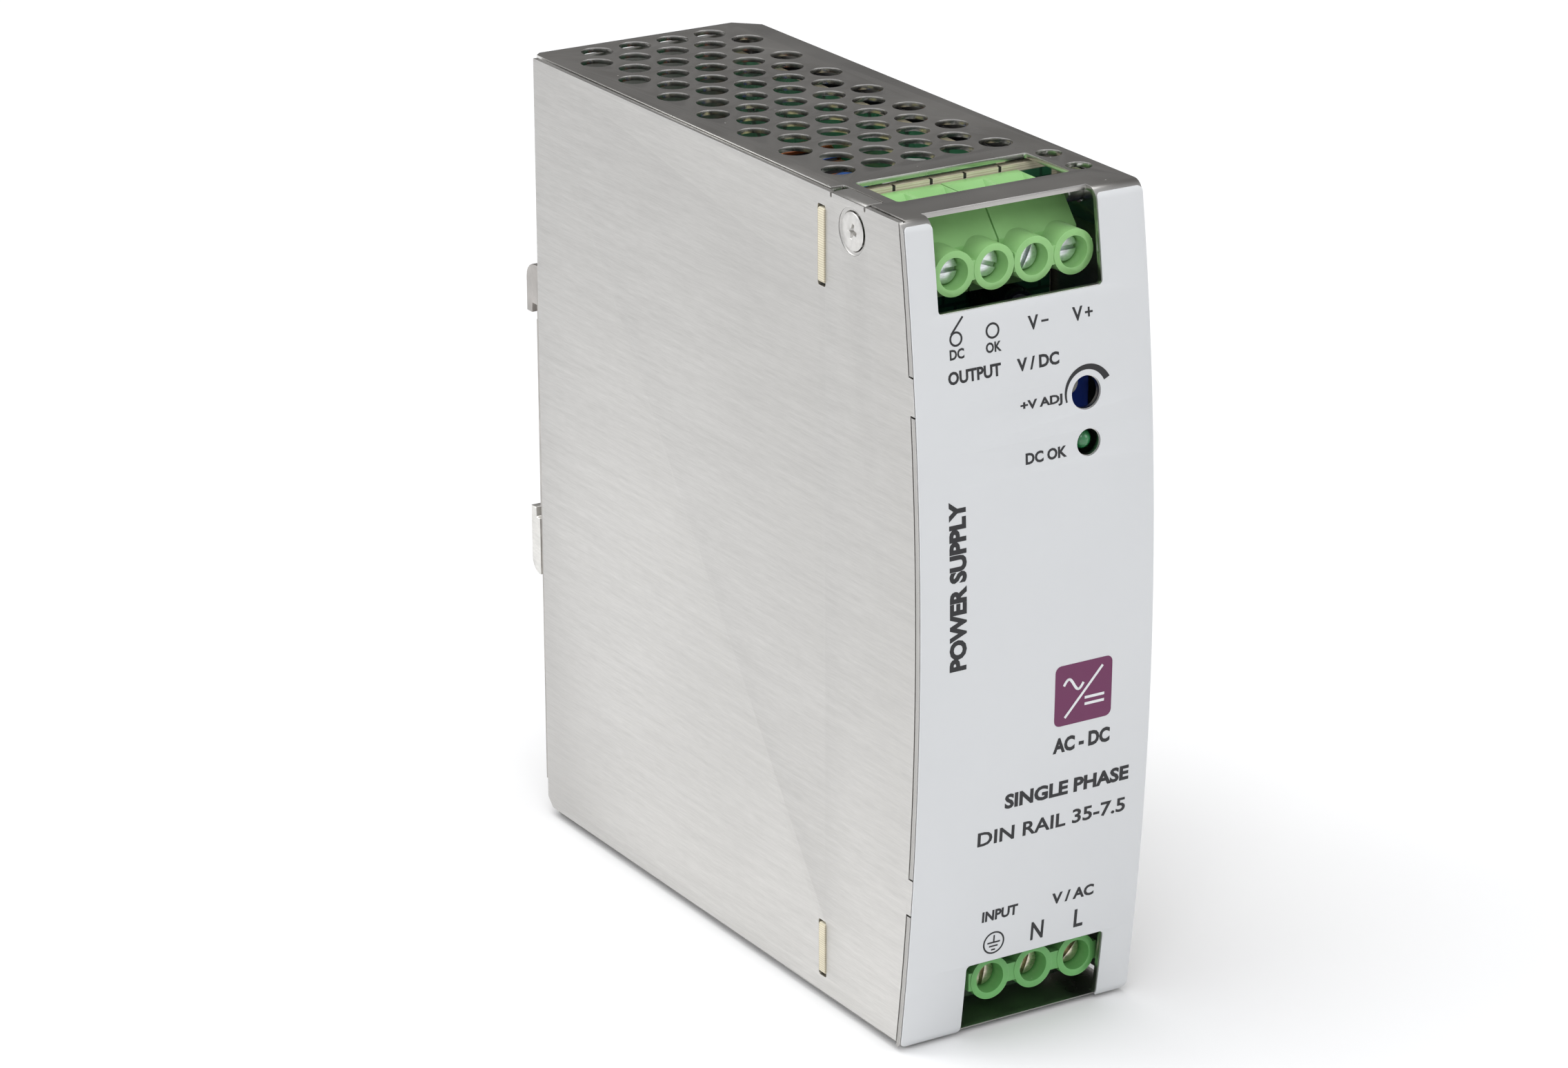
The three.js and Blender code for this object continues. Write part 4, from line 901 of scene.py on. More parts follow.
def words(text, x, z, height, weight=0.0, upright=False):
    # x and z: where the words start; height: of a capital letter; x or z as a pair gives the whole length
    curve = bpy.data.curves.new("words", "FONT")
    curve.body = text
    curve.size = 1
    curve.extrude = 0.5
    curve.offset = weight
    curve.resolution_u = 3
    item = bpy.data.objects.new("words", curve)
    bpy.context.scene.collection.objects.link(item)
    bpy.context.view_layer.update()
    mesh = bpy.data.meshes.new_from_object(item.evaluated_get(bpy.context.evaluated_depsgraph_get()))
    shape = bmesh.new()
    shape.from_mesh(mesh)
    bpy.data.meshes.remove(mesh)
    bpy.data.objects.remove(item)
    bpy.data.curves.remove(curve)
    bmesh.ops.remove_doubles(shape, verts=shape.verts, dist=1e-5)
    low = [min(v.co[i] for v in shape.verts) for i in (0, 1)]
    size = [max(v.co[i] for v in shape.verts) - low[i] for i in (0, 1)]
    bmesh.ops.translate(shape, verts=shape.verts, vec=(-low[0], -low[1], 0.5))
    run = z if upright else x
    tall = height / size[1]
    wide = (run[1] - run[0]) / size[0] if isinstance(run, tuple) else tall
    bmesh.ops.scale(shape, verts=shape.verts, vec=(wide, tall, 1))
    bmesh.ops.rotate(shape, verts=shape.verts, cent=(0, 0, 0), matrix=Matrix.Rotation(math.pi / 2, 3, "X"))
    for vert in shape.verts:
        vert.co.y = 1.0 if vert.co.y < -0.5 else 0.0
    if upright:
        bmesh.ops.rotate(shape, verts=shape.verts, cent=(0, 0, 0), matrix=Matrix.Rotation(-math.pi / 2, 3, "Y"))
    start = (x[0] if isinstance(x, tuple) else x, 0, z[0] if isinstance(z, tuple) else z)
    bmesh.ops.translate(shape, verts=shape.verts, vec=start)
    return ontoFront(shape)


def ringMark(x, z, radius, line):
    ring = combine(prism("y", circlePoints((x, z), radius, 36), (0, 1)),
                   [prism("y", circlePoints((x, z), radius - line, 36), (-1, 2))])
    return ontoFront(ring)


def lineMark(start, end, line):
    a, b = Vector(start), Vector(end)
    across = (b - a).normalized().orthogonal() * line / 2
    return ontoFront(prism("y", [tuple(a + across), tuple(b + across), tuple(b - across), tuple(a - across)], (0, 1)))


def sweepMark(x, z, inner, outer, fromAngle, toAngle):
    # a tapered arc: thin at its start, full at its end
    a, b = math.radians(fromAngle), math.radians(toAngle)
    steps = 26
    outline = [(x + (inner + (outer - inner) * (0.25 + 0.75 * i / steps)) * math.cos(a + (b - a) * i / steps),
                z + (inner + (outer - inner) * (0.25 + 0.75 * i / steps)) * math.sin(a + (b - a) * i / steps))
               for i in range(steps + 1)]
    return ontoFront(prism("y", outline + arcPoints((x, z), inner, b, a, steps), (0, 1)))


up = lambda height: bottom + height
marks = [
    ringMark(-12.8, up(108.0), 1.08, 0.3),
    lineMark((-13.55, up(108.7)), (-11.5, up(111.0)), 0.3),
    words("DC", (-13.95, -11.55), up(105.1), 1.5, 0.03),
    ringMark(-6.7, up(108.2), 1.15, 0.3),
    words("OK", (-7.95, -5.35), up(105.1), 1.5, 0.03),
    words("V", (-0.75, 1.0), up(107.2), 2.05, 0.025),
    lineMark((1.5, up(108.2)), (2.7, up(108.2)), 0.3),
    words("V", (6.75, 8.5), up(107.2), 2.05, 0.025),
    lineMark((8.9, up(108.2)), (10.2, up(108.2)), 0.3),
    lineMark((9.55, up(107.5)), (9.55, up(108.9)), 0.3),
    words("OUTPUT", (-14.4, -5.6), up(101.6), 1.9, 0.035),
    words("V / DC", (-2.9, 4.2), up(101.6), 1.9, 0.035),
    sweepMark(adjust["x"], adjust["z"], 3.35, 4.4, 195, 24),
    words("+V ADJ", (-2.6, 4.5), up(95.6), 1.7, 0.035),
    words("DC OK", (-2.0, 5.0), up(88.0), 1.7, 0.035),
    words("POWER SUPPLY", -12.2, (up(59.6), up(84.9)), 2.9, 0.05, upright=True),
    words("AC - DC", (3.1, 13.0), up(43.0), 2.4, 0.045),
    words("SINGLE PHASE", (-4.9, 16.75), up(36.1), 2.35, 0.04),
    words("DIN RAIL 35-7.5", (-9.3, 16.5), up(31.0), 2.3, 0.02),
    words("INPUT", (-7.6, -1.4), up(18.3), 1.75, 0.035),
    words("V / AC", (4.6, 12.0), up(18.3), 1.85, 0.035),
    ringMark(-5.2, up(14.5), 1.85, 0.26),
    lineMark((-5.2, up(14.6)), (-5.2, up(15.75)), 0.25),
    lineMark((-6.3, up(14.55)), (-4.1, up(14.55)), 0.25),
    lineMark((-5.95, up(13.95)), (-4.45, up(13.95)), 0.25),
    lineMark((-5.55, up(13.35)), (-4.85, up(13.35)), 0.25),
    words("N", (1.3, 3.5), up(13.2), 3.0, 0.02),
    words("L", (8.9, 10.5), up(13.45), 3.0, 0.02),
]
makePiece("printedMarks", merge(marks), printInk, sharp=30)


def makeIconBlock():
    # the rounded block under a plain converter sign; the sign, a wave over two bars, is made in makeIconSign
    plate = prism("y", roundCorners(rectanglePoints((3.1, 13.0), (up(47.2), up(56.6))), 1.0), (0, 1))
    return ontoFront(plate)


def makeIconSign():
    wave = []
    steps = 22
    for i in range(steps + 1):
        along = 4.6 + 3.4 * i / steps
        wave.append((along, up(53.4) + 0.9 * math.sin(2 * math.pi * i / steps)))
    lines = [lineMark(a, b, 0.42) for a, b in zip(wave, wave[1:])]
    lines += [lineMark((4.9, up(48.4)), (11.3, up(55.4)), 0.4),
              lineMark((8.3, up(50.9)), (11.7, up(50.9)), 0.42), lineMark((8.3, up(49.9)), (11.7, up(49.9)), 0.42)]
    for shape in lines:
        for vert in shape.verts:
            vert.co.y -= 0.03
    return merge(lines)


makePiece("printedBlock", makeIconBlock(), printPurple, sharp=30)
makePiece("printedSign", makeIconSign(), printPale, sharp=30)
print("stage: label and print")


# Terminal blocks. Depths here run forward from the front board, heights from the screws' line.

terminal = {"face": 15.3, "rim": 19.4, "foot": 7.2, "footDepth": 8, "underside": 3.4, "rimRadius": 3.33,
            "wellRadius": 2.3, "barHalf": 1.4, "shoulder": 15.1, "edge": 0.16, "mouthHalf": 3.05,
            "mouthDepths": (1.6, 11.0), "mouthDrop": 3.4}
outputBlock = {"way": 1, "entry": 6.8, "lip": 2.4, "slopeEnd": 11.6}
inputBlock = {"way": -1, "entry": 4.5, "lip": 1.0, "slopeEnd": 9.5}


def makeBlock(poles, span, screwZ, kind):
    ahead = lambda depth: boardFront - depth
    rise = lambda height: screwZ + kind["way"] * height
    toEntry, foot, under = kind["entry"], terminal["footDepth"], terminal["underside"]
    outline = [(ahead(0.3), rise(-terminal["foot"])), (ahead(foot), rise(-terminal["foot"])),
               (ahead(foot), rise(-under)), (ahead(terminal["face"]), rise(-under)),
               (ahead(terminal["face"]), rise(kind["lip"])), (ahead(kind["slopeEnd"]), rise(toEntry)),
               (ahead(0.3), rise(toEntry))]
    shape = prism("x", outline, span)
    bar = block((span[0] + 0.001, span[1] - 0.001), (ahead(terminal["rim"] - 0.12), ahead(13)),
                sorted((rise(-terminal["barHalf"]), rise(terminal["barHalf"]))))
    shape = unite(shape, [bar])
    shape = combine(shape, [rod("y", terminal["rimRadius"], (ahead(terminal["rim"]), ahead(13.4)), (x, 0, screwZ), 44)
                            for x in poles], "UNION")
    shape = combine(shape, [rod("y", terminal["wellRadius"] + 0.05, (ahead(22), ahead(terminal["shoulder"])),
                                (x, 0, screwZ), 40) for x in poles])
    shape = combine(shape, [rod("y", 1.55, (ahead(16.2), ahead(11.6)), (x, 0, screwZ), 24) for x in poles])
    shape = combine(shape, [block((x - 2.6, x + 2.6), (ahead(12.6), ahead(3.4)), (screwZ - 2.6, screwZ + 2.6))
                            for x in poles])
    shape = combine(shape, [block((x - 1.8, x + 1.8), (ahead(10.1), ahead(6.5)),
                                  sorted((rise(0), rise(toEntry + 1)))) for x in poles])
    funnels = []
    deep = min(terminal["mouthDrop"], toEntry - 2.9)
    mouthRear, mouthFront = ahead(terminal["mouthDepths"][0]), ahead(min(terminal["mouthDepths"][1], kind["slopeEnd"] - 0.6))
    for x in poles:
        funnel = block((x - 1.85, x + 1.85), (ahead(10.15), ahead(6.45)),
                       sorted((rise(toEntry - deep), rise(toEntry + 0.02))))
        for vert in funnel.verts:
            if abs(vert.co.z - rise(toEntry + 0.02)) < 0.01:
                vert.co.x = x + terminal["mouthHalf"] * (1 if vert.co.x > x else -1)
                vert.co.y = mouthRear if vert.co.y > ahead(8.3) else mouthFront
        bmesh.ops.recalc_face_normals(funnel, faces=funnel.faces)
        funnels.append(funnel)
    return soften(combine(shape, funnels), terminal["edge"], 2, 30)


seamX = (boxOf("output_block_left")[1].x, boxOf("output_block_right")[0].x)
makePiece("outputBlockLeft", makeBlock(outputX[:2], (blocksLow, seamX[0]), outputZ, outputBlock), outputGreen,
          replaces=["output_block_left"])
makePiece("outputBlockRight", makeBlock(outputX[2:], (seamX[1], blocksHigh), outputZ, outputBlock), outputGreen,
          replaces=["output_block_right"])
makePiece("inputBlock", makeBlock(inputX, (inputLow, inputHigh), inputZ, inputBlock), inputGreen,
          replaces=["input_block"])

screwHead = {"radius": 2.08, "under": 15.4, "face": 17.2, "slot": 0.65, "slotDepth": 0.85, "shank": 1.25, "end": 9.4}


def makeTerminalScrew(x, z, angle):
    s = screwHead
    profile = [(0, s["end"]), (s["shank"] - 0.3, s["end"]), (s["shank"], s["end"] + 0.4), (s["shank"], s["under"]),
               (s["radius"] - 0.08, s["under"]), (s["radius"], s["under"] + 0.1), (s["radius"], s["face"] - 0.3),
               (s["radius"] - 0.1, s["face"] - 0.1), (s["radius"] - 0.3, s["face"] - 0.02), (1.0, s["face"] + 0.05),
               (0, s["face"] + 0.07)]
    shape = turned("y", [(radius, -depth) for radius, depth in profile], steps=44)
    cut = block((-3, 3), (-s["face"] - 1, -s["face"] + s["slotDepth"]), (-s["slot"] / 2, s["slot"] / 2))
    shape = soften(combine(shape, [cut]), 0.05, 2, 40)
    return place(place(shape, turn=-angle, about="y"), (x, boardFront, z))


poles = [(x, outputZ) for x in outputX] + [(x, inputZ) for x in inputX]
for i, (x, z) in enumerate(poles):
    makePiece("terminalScrew%d" % (i + 1), makeTerminalScrew(x, z, screws["angles"][i]),
              zincScrew if i < 4 else yellowScrew, body="terminal_screw_%d" % (i + 1),
              replaces=["terminal_screw_%d" % (i + 1)])
print("stage: terminals")

coverScrew = {"headRadius": 2.85, "headHeight": 1.1, "shank": 1.4, "recess": 1.45, "recessDepth": 0.9, "wing": 0.32}


def makeCoverScrew(node, outward):
    low, high = boxOf(node)
    outer, inner = (high.x, low.x) if outward > 0 else (low.x, high.x)
    c = coverScrew
    profile = [(0, inner), (c["shank"] - 0.25, inner), (c["shank"], inner + outward * 0.35),
               (c["shank"], outer - outward * c["headHeight"]), (c["headRadius"] - 0.05, outer - outward * 0.16),
               (c["headRadius"], outer - outward * 0.08), (c["headRadius"] - 0.12, outer - outward * 0.01), (0, outer)]
    shape = turned("x", profile, (0, 0, 0), 40)
    tools = []
    for axis in (0, 1):
        wing = block((outer - c["recessDepth"], outer + 0.5) if outward > 0 else (outer - 0.5, outer + c["recessDepth"]),
                     (-c["recess"], c["recess"]) if axis else (-c["wing"], c["wing"]),
                     (-c["wing"], c["wing"]) if axis else (-c["recess"], c["recess"]))
        for vert in wing.verts:
            if (outer - vert.co.x) * outward > 0:
                if axis:
                    vert.co.y *= 0.45
                else:
                    vert.co.z *= 0.45
        tools.append(wing)
    for tool in tools:
        shape = combine(shape, [tool])
    shape = soften(shape, 0.06, 2, 40)
    shape = place(shape, turn=12, about="x")
    return place(shape, (0, front + screws["depth"], top - screws["drop"]))


makePiece("coverScrewLeft", makeCoverScrew("cover_screw_left", -1), paleScrew, replaces=["cover_screw_left"])
makePiece("coverScrewRight", makeCoverScrew("cover_screw_right", 1), paleScrew, replaces=["cover_screw_right"])


# Boards


def refine(node, name, material, width, body="casing", extra=(), segments=2, sharperThan=35, holes=()):
    # the CAD solid itself, merged, its edges rounded, with small parts added
    shape = bmesh.new()
    shape.from_mesh(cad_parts[node].data)
    shape.transform(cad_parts[node].matrix_world)
    bmesh.ops.scale(shape, verts=shape.verts, vec=(1 / metre,) * 3)
    bmesh.ops.remove_doubles(shape, verts=shape.verts, dist=1e-3)
    if holes:
        shape = combine(shape, list(holes))
    soften(shape, width, segments, sharperThan)
    return makePiece(name, merge([shape, *extra]), material, body, replaces=[node])


def tube(points, radius, closed=False, sides=2):
    # a wire through these points, in millimetres, as a mesh
    curve = bpy.data.curves.new("wire", "CURVE")
    curve.dimensions = "3D"
    spline = curve.splines.new("POLY")
    spline.points.add(len(points) - 1)
    for spot, point in zip(spline.points, points):
        spot.co = (*point, 1)
    spline.use_cyclic_u = closed
    curve.bevel_depth = radius
    curve.bevel_resolution = sides
    curve.use_fill_caps = not closed
    item = bpy.data.objects.new("wire", curve)
    bpy.context.scene.collection.objects.link(item)
    bpy.context.view_layer.update()
    mesh = bpy.data.meshes.new_from_object(item.evaluated_get(bpy.context.evaluated_depsgraph_get()))
    shape = bmesh.new()
    shape.from_mesh(mesh)
    bpy.data.meshes.remove(mesh)
    bpy.data.objects.remove(item)
    bpy.data.curves.remove(curve)
    bmesh.ops.remove_doubles(shape, verts=shape.verts, dist=1e-4)
    bmesh.ops.recalc_face_normals(shape, faces=shape.faces)
    return shape


def smoothPath(points, steps=8):
    # Catmull-Rom through the points
    made = []
    spots = [Vector(p) for p in points]
    spots = [spots[0] * 2 - spots[1]] + spots + [spots[-1] * 2 - spots[-2]]
    for a, b, c, d in zip(spots, spots[1:], spots[2:], spots[3:]):
        for i in range(steps):
            t = i / steps
            made.append(0.5 * (2 * b + (c - a) * t + (2 * a - 5 * b + 4 * c - d) * t * t + (3 * b - a - 3 * c + d) * t ** 3))
    return made + [spots[-2]]


frontBoard = {"tabs": ((4.2, 12.2), (111.2, 122.2)), "tabRound": 0.35, "shadedNotches": (-13.2, -8.4, -2.1, 3.6, 9.6),
              "tick": (0.26, 0.9), "edge": 0.05}


def makeFrontBoard():
    low, high = boxOf("front_board")
    half = plateHalf - 0.3
    z0, z1 = bottom + 1.4, top - 1.4
    outline = [(-half, z0), (half, z0)]
    for a, b in frontBoard["tabs"]:
        outline += [(half, bottom + a), (high.x, bottom + a), (high.x, bottom + b), (half, bottom + b)]
    outline += [(half, z1), (-half, z1)]
    for a, b in reversed(frontBoard["tabs"]):
        outline += [(-half, bottom + b), (low.x, bottom + b), (low.x, bottom + a), (-half, bottom + a)]
    shape = prism("y", roundCorners(outline, frontBoard["tabRound"], 3), (low.y, high.y))
    wide, deep = frontBoard["tick"]
    shape = combine(shape, [block((x - wide, x + wide), (low.y - 1, low.y + deep), (z1 - deep, z1 + 1))
                            for x in frontBoard["shadedNotches"]])
    return soften(shape, frontBoard["edge"], 1)


makePiece("frontBoard", makeFrontBoard(), laminate, replaces=["front_board"])
boardRear = boxOf("front_board")[1].y
# painted shade: near-black blocks fill the notches in the board's top edge, standing in for the shade inside them
shadedNotches = [block((x - 0.24, x + 0.24), (boardFront + 0.06, boardFront + 0.85), (top - 2.25, top - 1.5))
         for x in frontBoard["shadedNotches"]]
makePiece("boardNotchShade", merge(shadedNotches), notchShade)

pins = []
for x, z in poles:
    for dx in (-1.2, 1.2):
        pins.append(turned("y", [(0, boardRear + 1.5), (0.35, boardRear + 1.4), (0.4, boardRear + 0.9),
                                 (1.1, boardRear + 0.1), (1.15, boardRear + 0.02), (0, boardRear + 0.02)],
                           (x + dx, 0, z), 14))
makePiece("terminalSolder", merge(pins), solder)

boardFace = boxOf("main_board")[0].x


def mainBoardParts():
    # small parts in rows over the face of the main board, kept off the big ones
    chips, ends = [], []
    low, high = boxOf("main_board")
    spots = [(y, z) for y in range(int(low.y) + 4, int(high.y) - 3, 6) for z in range(int(low.z) + 5, int(high.z) - 3, 7)]
    taken = [boxOf(node) for node in ("fuse", "inrush_thermistor", "varistor", "x_capacitor", "line_choke",
                                      "bridge_rectifier", "bulk_capacitor_1", "bulk_capacitor_2",
                                      "output_capacitor_1", "output_capacitor_2", "output_inductor", "optocoupler",
                                      "control_chip", "switching_transistor", "output_rectifier", "y_capacitor",
                                      "primary_heat_sink", "secondary_heat_sink", "transformer_winding")]
    for i, (y, z) in enumerate(spots):
        y, z = y + (i * 37 % 11) * 0.12, z + (i * 53 % 13) * 0.1
        if any(a.y - 2.2 < y < b.y + 2.2 and a.z - 2.2 < z < b.z + 2.2 for a, b in taken):
            continue
        long, wide = (1.6, 0.8) if i % 3 else (0.8, 1.6)
        chips.append(block((boardFace - 0.65, boardFace - 0.02), (y - long / 2, y + long / 2), (z - wide / 2, z + wide / 2)))
        reach = 0.28
        for s in (-1, 1):
            dy, dz = (s * (long / 2 + reach / 2), 0) if long > wide else (0, s * (wide / 2 + reach / 2))
            ends.append(block((boardFace - 0.6, boardFace - 0.02),
                              (y + dy - (reach if long > wide else long) / 2, y + dy + (reach if long > wide else long) / 2),
                              (z + dz - (wide if long > wide else reach) / 2, z + dz + (wide if long > wide else reach) / 2)))
    return merge(chips), merge(ends)


refine("main_board", "mainBoard", boardMask, 0.1)
smallParts, smallEnds = mainBoardParts()
makePiece("boardSmallParts", smallParts, blackPlastic)
makePiece("boardSmallEnds", smallEnds, solder)
refine("insulation_sheet", "insulationSheet", insulation, 0.05)
for i in (1, 2):
    refine("board_spacer_%d" % i, "boardSpacer%d" % i, nickel, 0.25)
for i in range(1, 8):
    refine("clamp_cage_%d" % i, "clampCage%d" % i, nickel, 0.12, body="clamp_cage_%d" % i)
print("stage: boards")


# Adjuster, status light and relay

trimmer = {"edge": 0.4, "slot": (1.35, 0.32), "slotDepth": 0.5}


def makeRotor():
    low, high = boxOf("trimmer_rotor")
    radius = (high.z - low.z) / 2
    profile = [(0, high.y), (radius - 0.1, high.y), (radius, high.y - 0.1), (radius, low.y + 0.25),
               (radius - 0.12, low.y + 0.1), (radius - 0.3, low.y), (radius - 0.5, low.y), (radius - 0.56, low.y + 0.12),
               (radius - 0.72, low.y + 0.12), (radius - 0.78, low.y), (0, low.y)]
    shape = turned("y", profile, (adjust["x"], 0, adjust["z"]), 44)
    reach, half = trimmer["slot"]
    y = (low.y - 1, low.y + trimmer["slotDepth"])
    shape = combine(shape, [block((adjust["x"] - reach, adjust["x"] + reach), y, (adjust["z"] - half, adjust["z"] + half))])
    arrow = prism("y", [(adjust["x"] - 0.6, adjust["z"]), (adjust["x"] + 0.6, adjust["z"]),
                        (adjust["x"], adjust["z"] + 0.95)], y)
    return soften(combine(shape, [arrow]), 0.04, 2, 40)


makePiece("trimmerRotor", makeRotor(), whitePlastic, body="trimmer_rotor", replaces=["trimmer_rotor"])
trimmerFeet = [turned("y", [(0, boardRear + 1.2), (0.3, boardRear + 1.1), (0.35, boardRear + 0.7), (0.9, boardRear + 0.05),
                            (0.9, boardRear + 0.02), (0, boardRear + 0.02)],
                      (adjust["x"] + dx, 0, adjust["z"] + dz), 12) for dx, dz in ((-2.5, -2), (2.5, -2), (0, 2.4))]
refine("trimmer_body", "trimmerBody", bluePlastic, trimmer["edge"], segments=3)
makePiece("trimmerSolder", merge(trimmerFeet), solder)


def makeLight():
    low, high = boxOf("status_led")
    wide, thin = (high.z - low.z) / 2, 1.5
    dome = arcPoints((0, low.y + thin), thin, -math.pi / 2, 0, 12)
    profile = [(0, high.y), (wide - 0.1, high.y), (wide, high.y - 0.12), (wide, high.y - 0.88), (wide - 0.1, high.y - 1.0),
               (thin + 0.05, high.y - 1.0)]
    profile += [(radius, along) for radius, along in reversed(dome)]
    return turned("y", profile, (lightHole["x"], 0, lightHole["z"]), 40)


makePiece("statusLight", makeLight(), greenLens, replaces=["status_led"])
refine("led_spacer", "lightSpacer", blackPlastic, 0.2)
refine("status_relay", "statusRelay", yellowPlastic, 0.5, segments=3)
print("stage: adjuster and light")


# Parts on the main board


def nodeFrame(node):
    low, high = boxOf(node)
    return low, high, (low + high) / 2


def makeCan(node, name, axis="x"):
    # an electrolytic capacitor standing on its board: shrink sleeve, crimp, scored aluminium end
    low, high, centre = nodeFrame(node)
    radius = (high.z - low.z) / 2
    base, tall = (high.x, high.x - low.x) if axis == "x" else (high.y, high.y - low.y)
    at = (0, centre.y, centre.z) if axis == "x" else (centre.x, 0, centre.z)
    x = lambda lift: base - lift
    bead = min(1, radius / 5)
    profile = [(0, x(0)), (radius - 0.6, x(0)), (radius - 0.15, x(0.3)), (radius - 0.02, x(0.9)), (radius - 0.02, x(2.0)),
               (radius - 0.7 * bead, x(2.7)), (radius - 0.02, x(3.4)), (radius - 0.02, x(tall - 1.0)),
               (radius - 0.3, x(tall - 0.35)), (radius - 0.8 * bead, x(tall - 0.05)), (radius - 1.5 * bead, x(tall - 0.05)),
               (radius - 1.6 * bead, x(tall - 0.3)), (0, x(tall - 0.3))]
    makePiece(name, turned(axis, profile, at, 48), sleeve, replaces=[node])
    r = radius - 1.65 * bead
    lid = turned(axis, [(0, x(tall - 0.42)), (r, x(tall - 0.42)), (r, x(tall - 0.2)), (0, x(tall - 0.2))], at, 40)
    span, bar, thin = (x(tall), x(tall - 0.27)), (-r * 0.8, r * 0.8), (-0.08, 0.08)
    for turnBy in (0, 60, 120):
        score = block(span, bar, thin) if axis == "x" else block(bar, span, thin)
        lid = combine(lid, [place(place(score, turn=turnBy, about=axis), at)])
    makePiece(name + "Lid", lid, heatSink)


for node, name in (("bulk_capacitor_1", "bulkCapacitor1"), ("bulk_capacitor_2", "bulkCapacitor2"),
                   ("output_capacitor_1", "outputCapacitor1"), ("output_capacitor_2", "outputCapacitor2")):
    makeCan(node, name)


def makeToroid(node, name, turns, wire):
    low, high, centre = nodeFrame(node)
    radius = (high.z - low.z) / 2
    hole = radius * 0.4
    x0, x1 = low.x, high.x
    inset = 2 * wire + 0.05
    outline = roundCorners(rectanglePoints((hole + inset * 0.9, radius - inset), (x0 + inset, x1 - inset)), 0.8, 4)
    core = turned("x", outline + outline[:1], (0, centre.y, centre.z), 60)
    makePiece(name + "Core", core, ferrite)
    a, b = hole + wire, radius - wire - 0.02
    loop = roundCorners(rectanglePoints((a, b), (x0 + wire + 0.02, x1 - wire - 0.02)), 1.1, 4)
    loops = []
    for i in range(turns):
        if abs(i - turns / 2) < 1 or i == 0:
            continue
        loops.append(place(place(tube([(along, r, 0) for r, along in loop], wire, closed=True, sides=1),
                                 turn=360 * i / turns, about="x"), (0, centre.y, centre.z)))
    makePiece(name, merge(loops), copperWinding, replaces=[node])


makeToroid("line_choke", "lineChoke", 28, 0.42)
makeToroid("output_inductor", "outputInductor", 26, 0.45)


def makeDisc(node, name, material):
    # a dipped disc on two legs
    low, high, centre = nodeFrame(node)
    alongBoard = high.y - low.y > high.z - low.z - 0.5 and high.x - low.x < high.y - low.y
    radius = (high.z - low.z) / 2
    if alongBoard:
        thick = min(high.x - low.x, 4.0)
        x = low.x + thick / 2
        edge = arcPoints((radius - thick * 0.45, x), thick * 0.45, -math.pi / 2, math.pi / 2, 8)
        disc = turned("x", [(0, x - thick / 2)] + [(r, a) for r, a in edge] + [(0, x + thick / 2)], (0, centre.y, centre.z), 40)
        legs = [tube([(x, centre.y, centre.z + s * 2.5), (high.x, centre.y, centre.z + s * 2.5)], 0.35) for s in (-1, 1)]
    else:
        thick = high.y - low.y
        y = centre.y
        edge = arcPoints((radius - thick * 0.45, y), thick * 0.45, -math.pi / 2, math.pi / 2, 8)
        disc = turned("y", [(0, y - thick / 2)] + [(r, a) for r, a in edge] + [(0, y + thick / 2)],
                      (low.x + radius, 0, centre.z), 40)
        legs = [tube([(low.x + radius, y, centre.z + s * radius * 0.55), (high.x, y, centre.z + s * radius * 0.55)], 0.4)
                for s in (-1, 1)]
    makePiece(name, merge([disc]), material, replaces=[node])
    makePiece(name + "Legs", merge(legs), solder)


makeDisc("varistor", "varistor", blueCoating)
makeDisc("inrush_thermistor", "inrushThermistor", blackPlastic)
makeDisc("y_capacitor", "yCapacitor", blueCoating)


def makeFuse():
    low, high, centre = nodeFrame("fuse")
    radius = (high.y - low.y) / 2
    body = turned("z", [(0, low.z + 4.5), (radius - 0.25, low.z + 4.5), (radius - 0.25, high.z - 4.5), (0, high.z - 4.5)],
                  (centre.x, centre.y, 0), 36)
    caps = []
    for a, b in ((low.z, low.z + 5), (high.z, high.z - 5)):
        s = 1 if b > a else -1
        caps.append(turned("z", [(0, a), (radius - 0.4, a), (radius - 0.02, a + s * 0.4), (radius - 0.02, b - s * 0.5),
                                 (radius - 0.2, b), (0, b)], (centre.x, centre.y, 0), 36))
    makePiece("fuseBody", body, ceramic, replaces=["fuse"])
    makePiece("fuseCaps", merge(caps), nickel)


makeFuse()


def legRow(node, count, along="z", both=True):
    # bent legs from a package down to the board
    low, high, centre = nodeFrame(node)
    legs = []
    a, b = (low.z, high.z) if along == "z" else (low.y, high.y)
    for i in range(count):
        at = a + (b - a) * (i + 0.5) / count
        for s in ((-1, 1) if both else (1,)):
            if along == "z":
                edge = high.y if s > 0 else low.y
                path = [(centre.x, edge - s * 0.2, at), (centre.x, edge + s * 0.6, at), (high.x - 0.1, edge + s * 0.8, at)]
            else:
                edge = high.z if s > 0 else low.z
                path = [(centre.x, at, edge - s * 0.2), (centre.x, at, edge + s * 0.6), (high.x - 0.1, at, edge + s * 0.8)]
            legs.append(tube(path, 0.2, sides=1))
    return legs


refine("x_capacitor", "xCapacitor", yellowPlastic, 0.7, segments=3)
refine("bridge_rectifier", "bridgeRectifier", blackPlastic, 0.4)
refine("optocoupler", "optocoupler", blackPlastic, 0.25)
refine("control_chip", "controlChip", blackPlastic, 0.25)
makePiece("chipLegs", merge(legRow("optocoupler", 2, "y") + legRow("control_chip", 4, "y")), solder)
refine("switching_transistor", "switchingTransistor", blackPlastic, 0.35)
refine("output_rectifier", "outputRectifier", blackPlastic, 0.35)
refine("primary_heat_sink", "primaryHeatSink", heatSink, 0.2)
refine("secondary_heat_sink", "secondaryHeatSink", heatSink, 0.2)
refine("transformer_core", "transformerCore", ferrite, 0.35)
refine("transformer_winding", "transformerWinding", yellowTape, 1.4, segments=4)


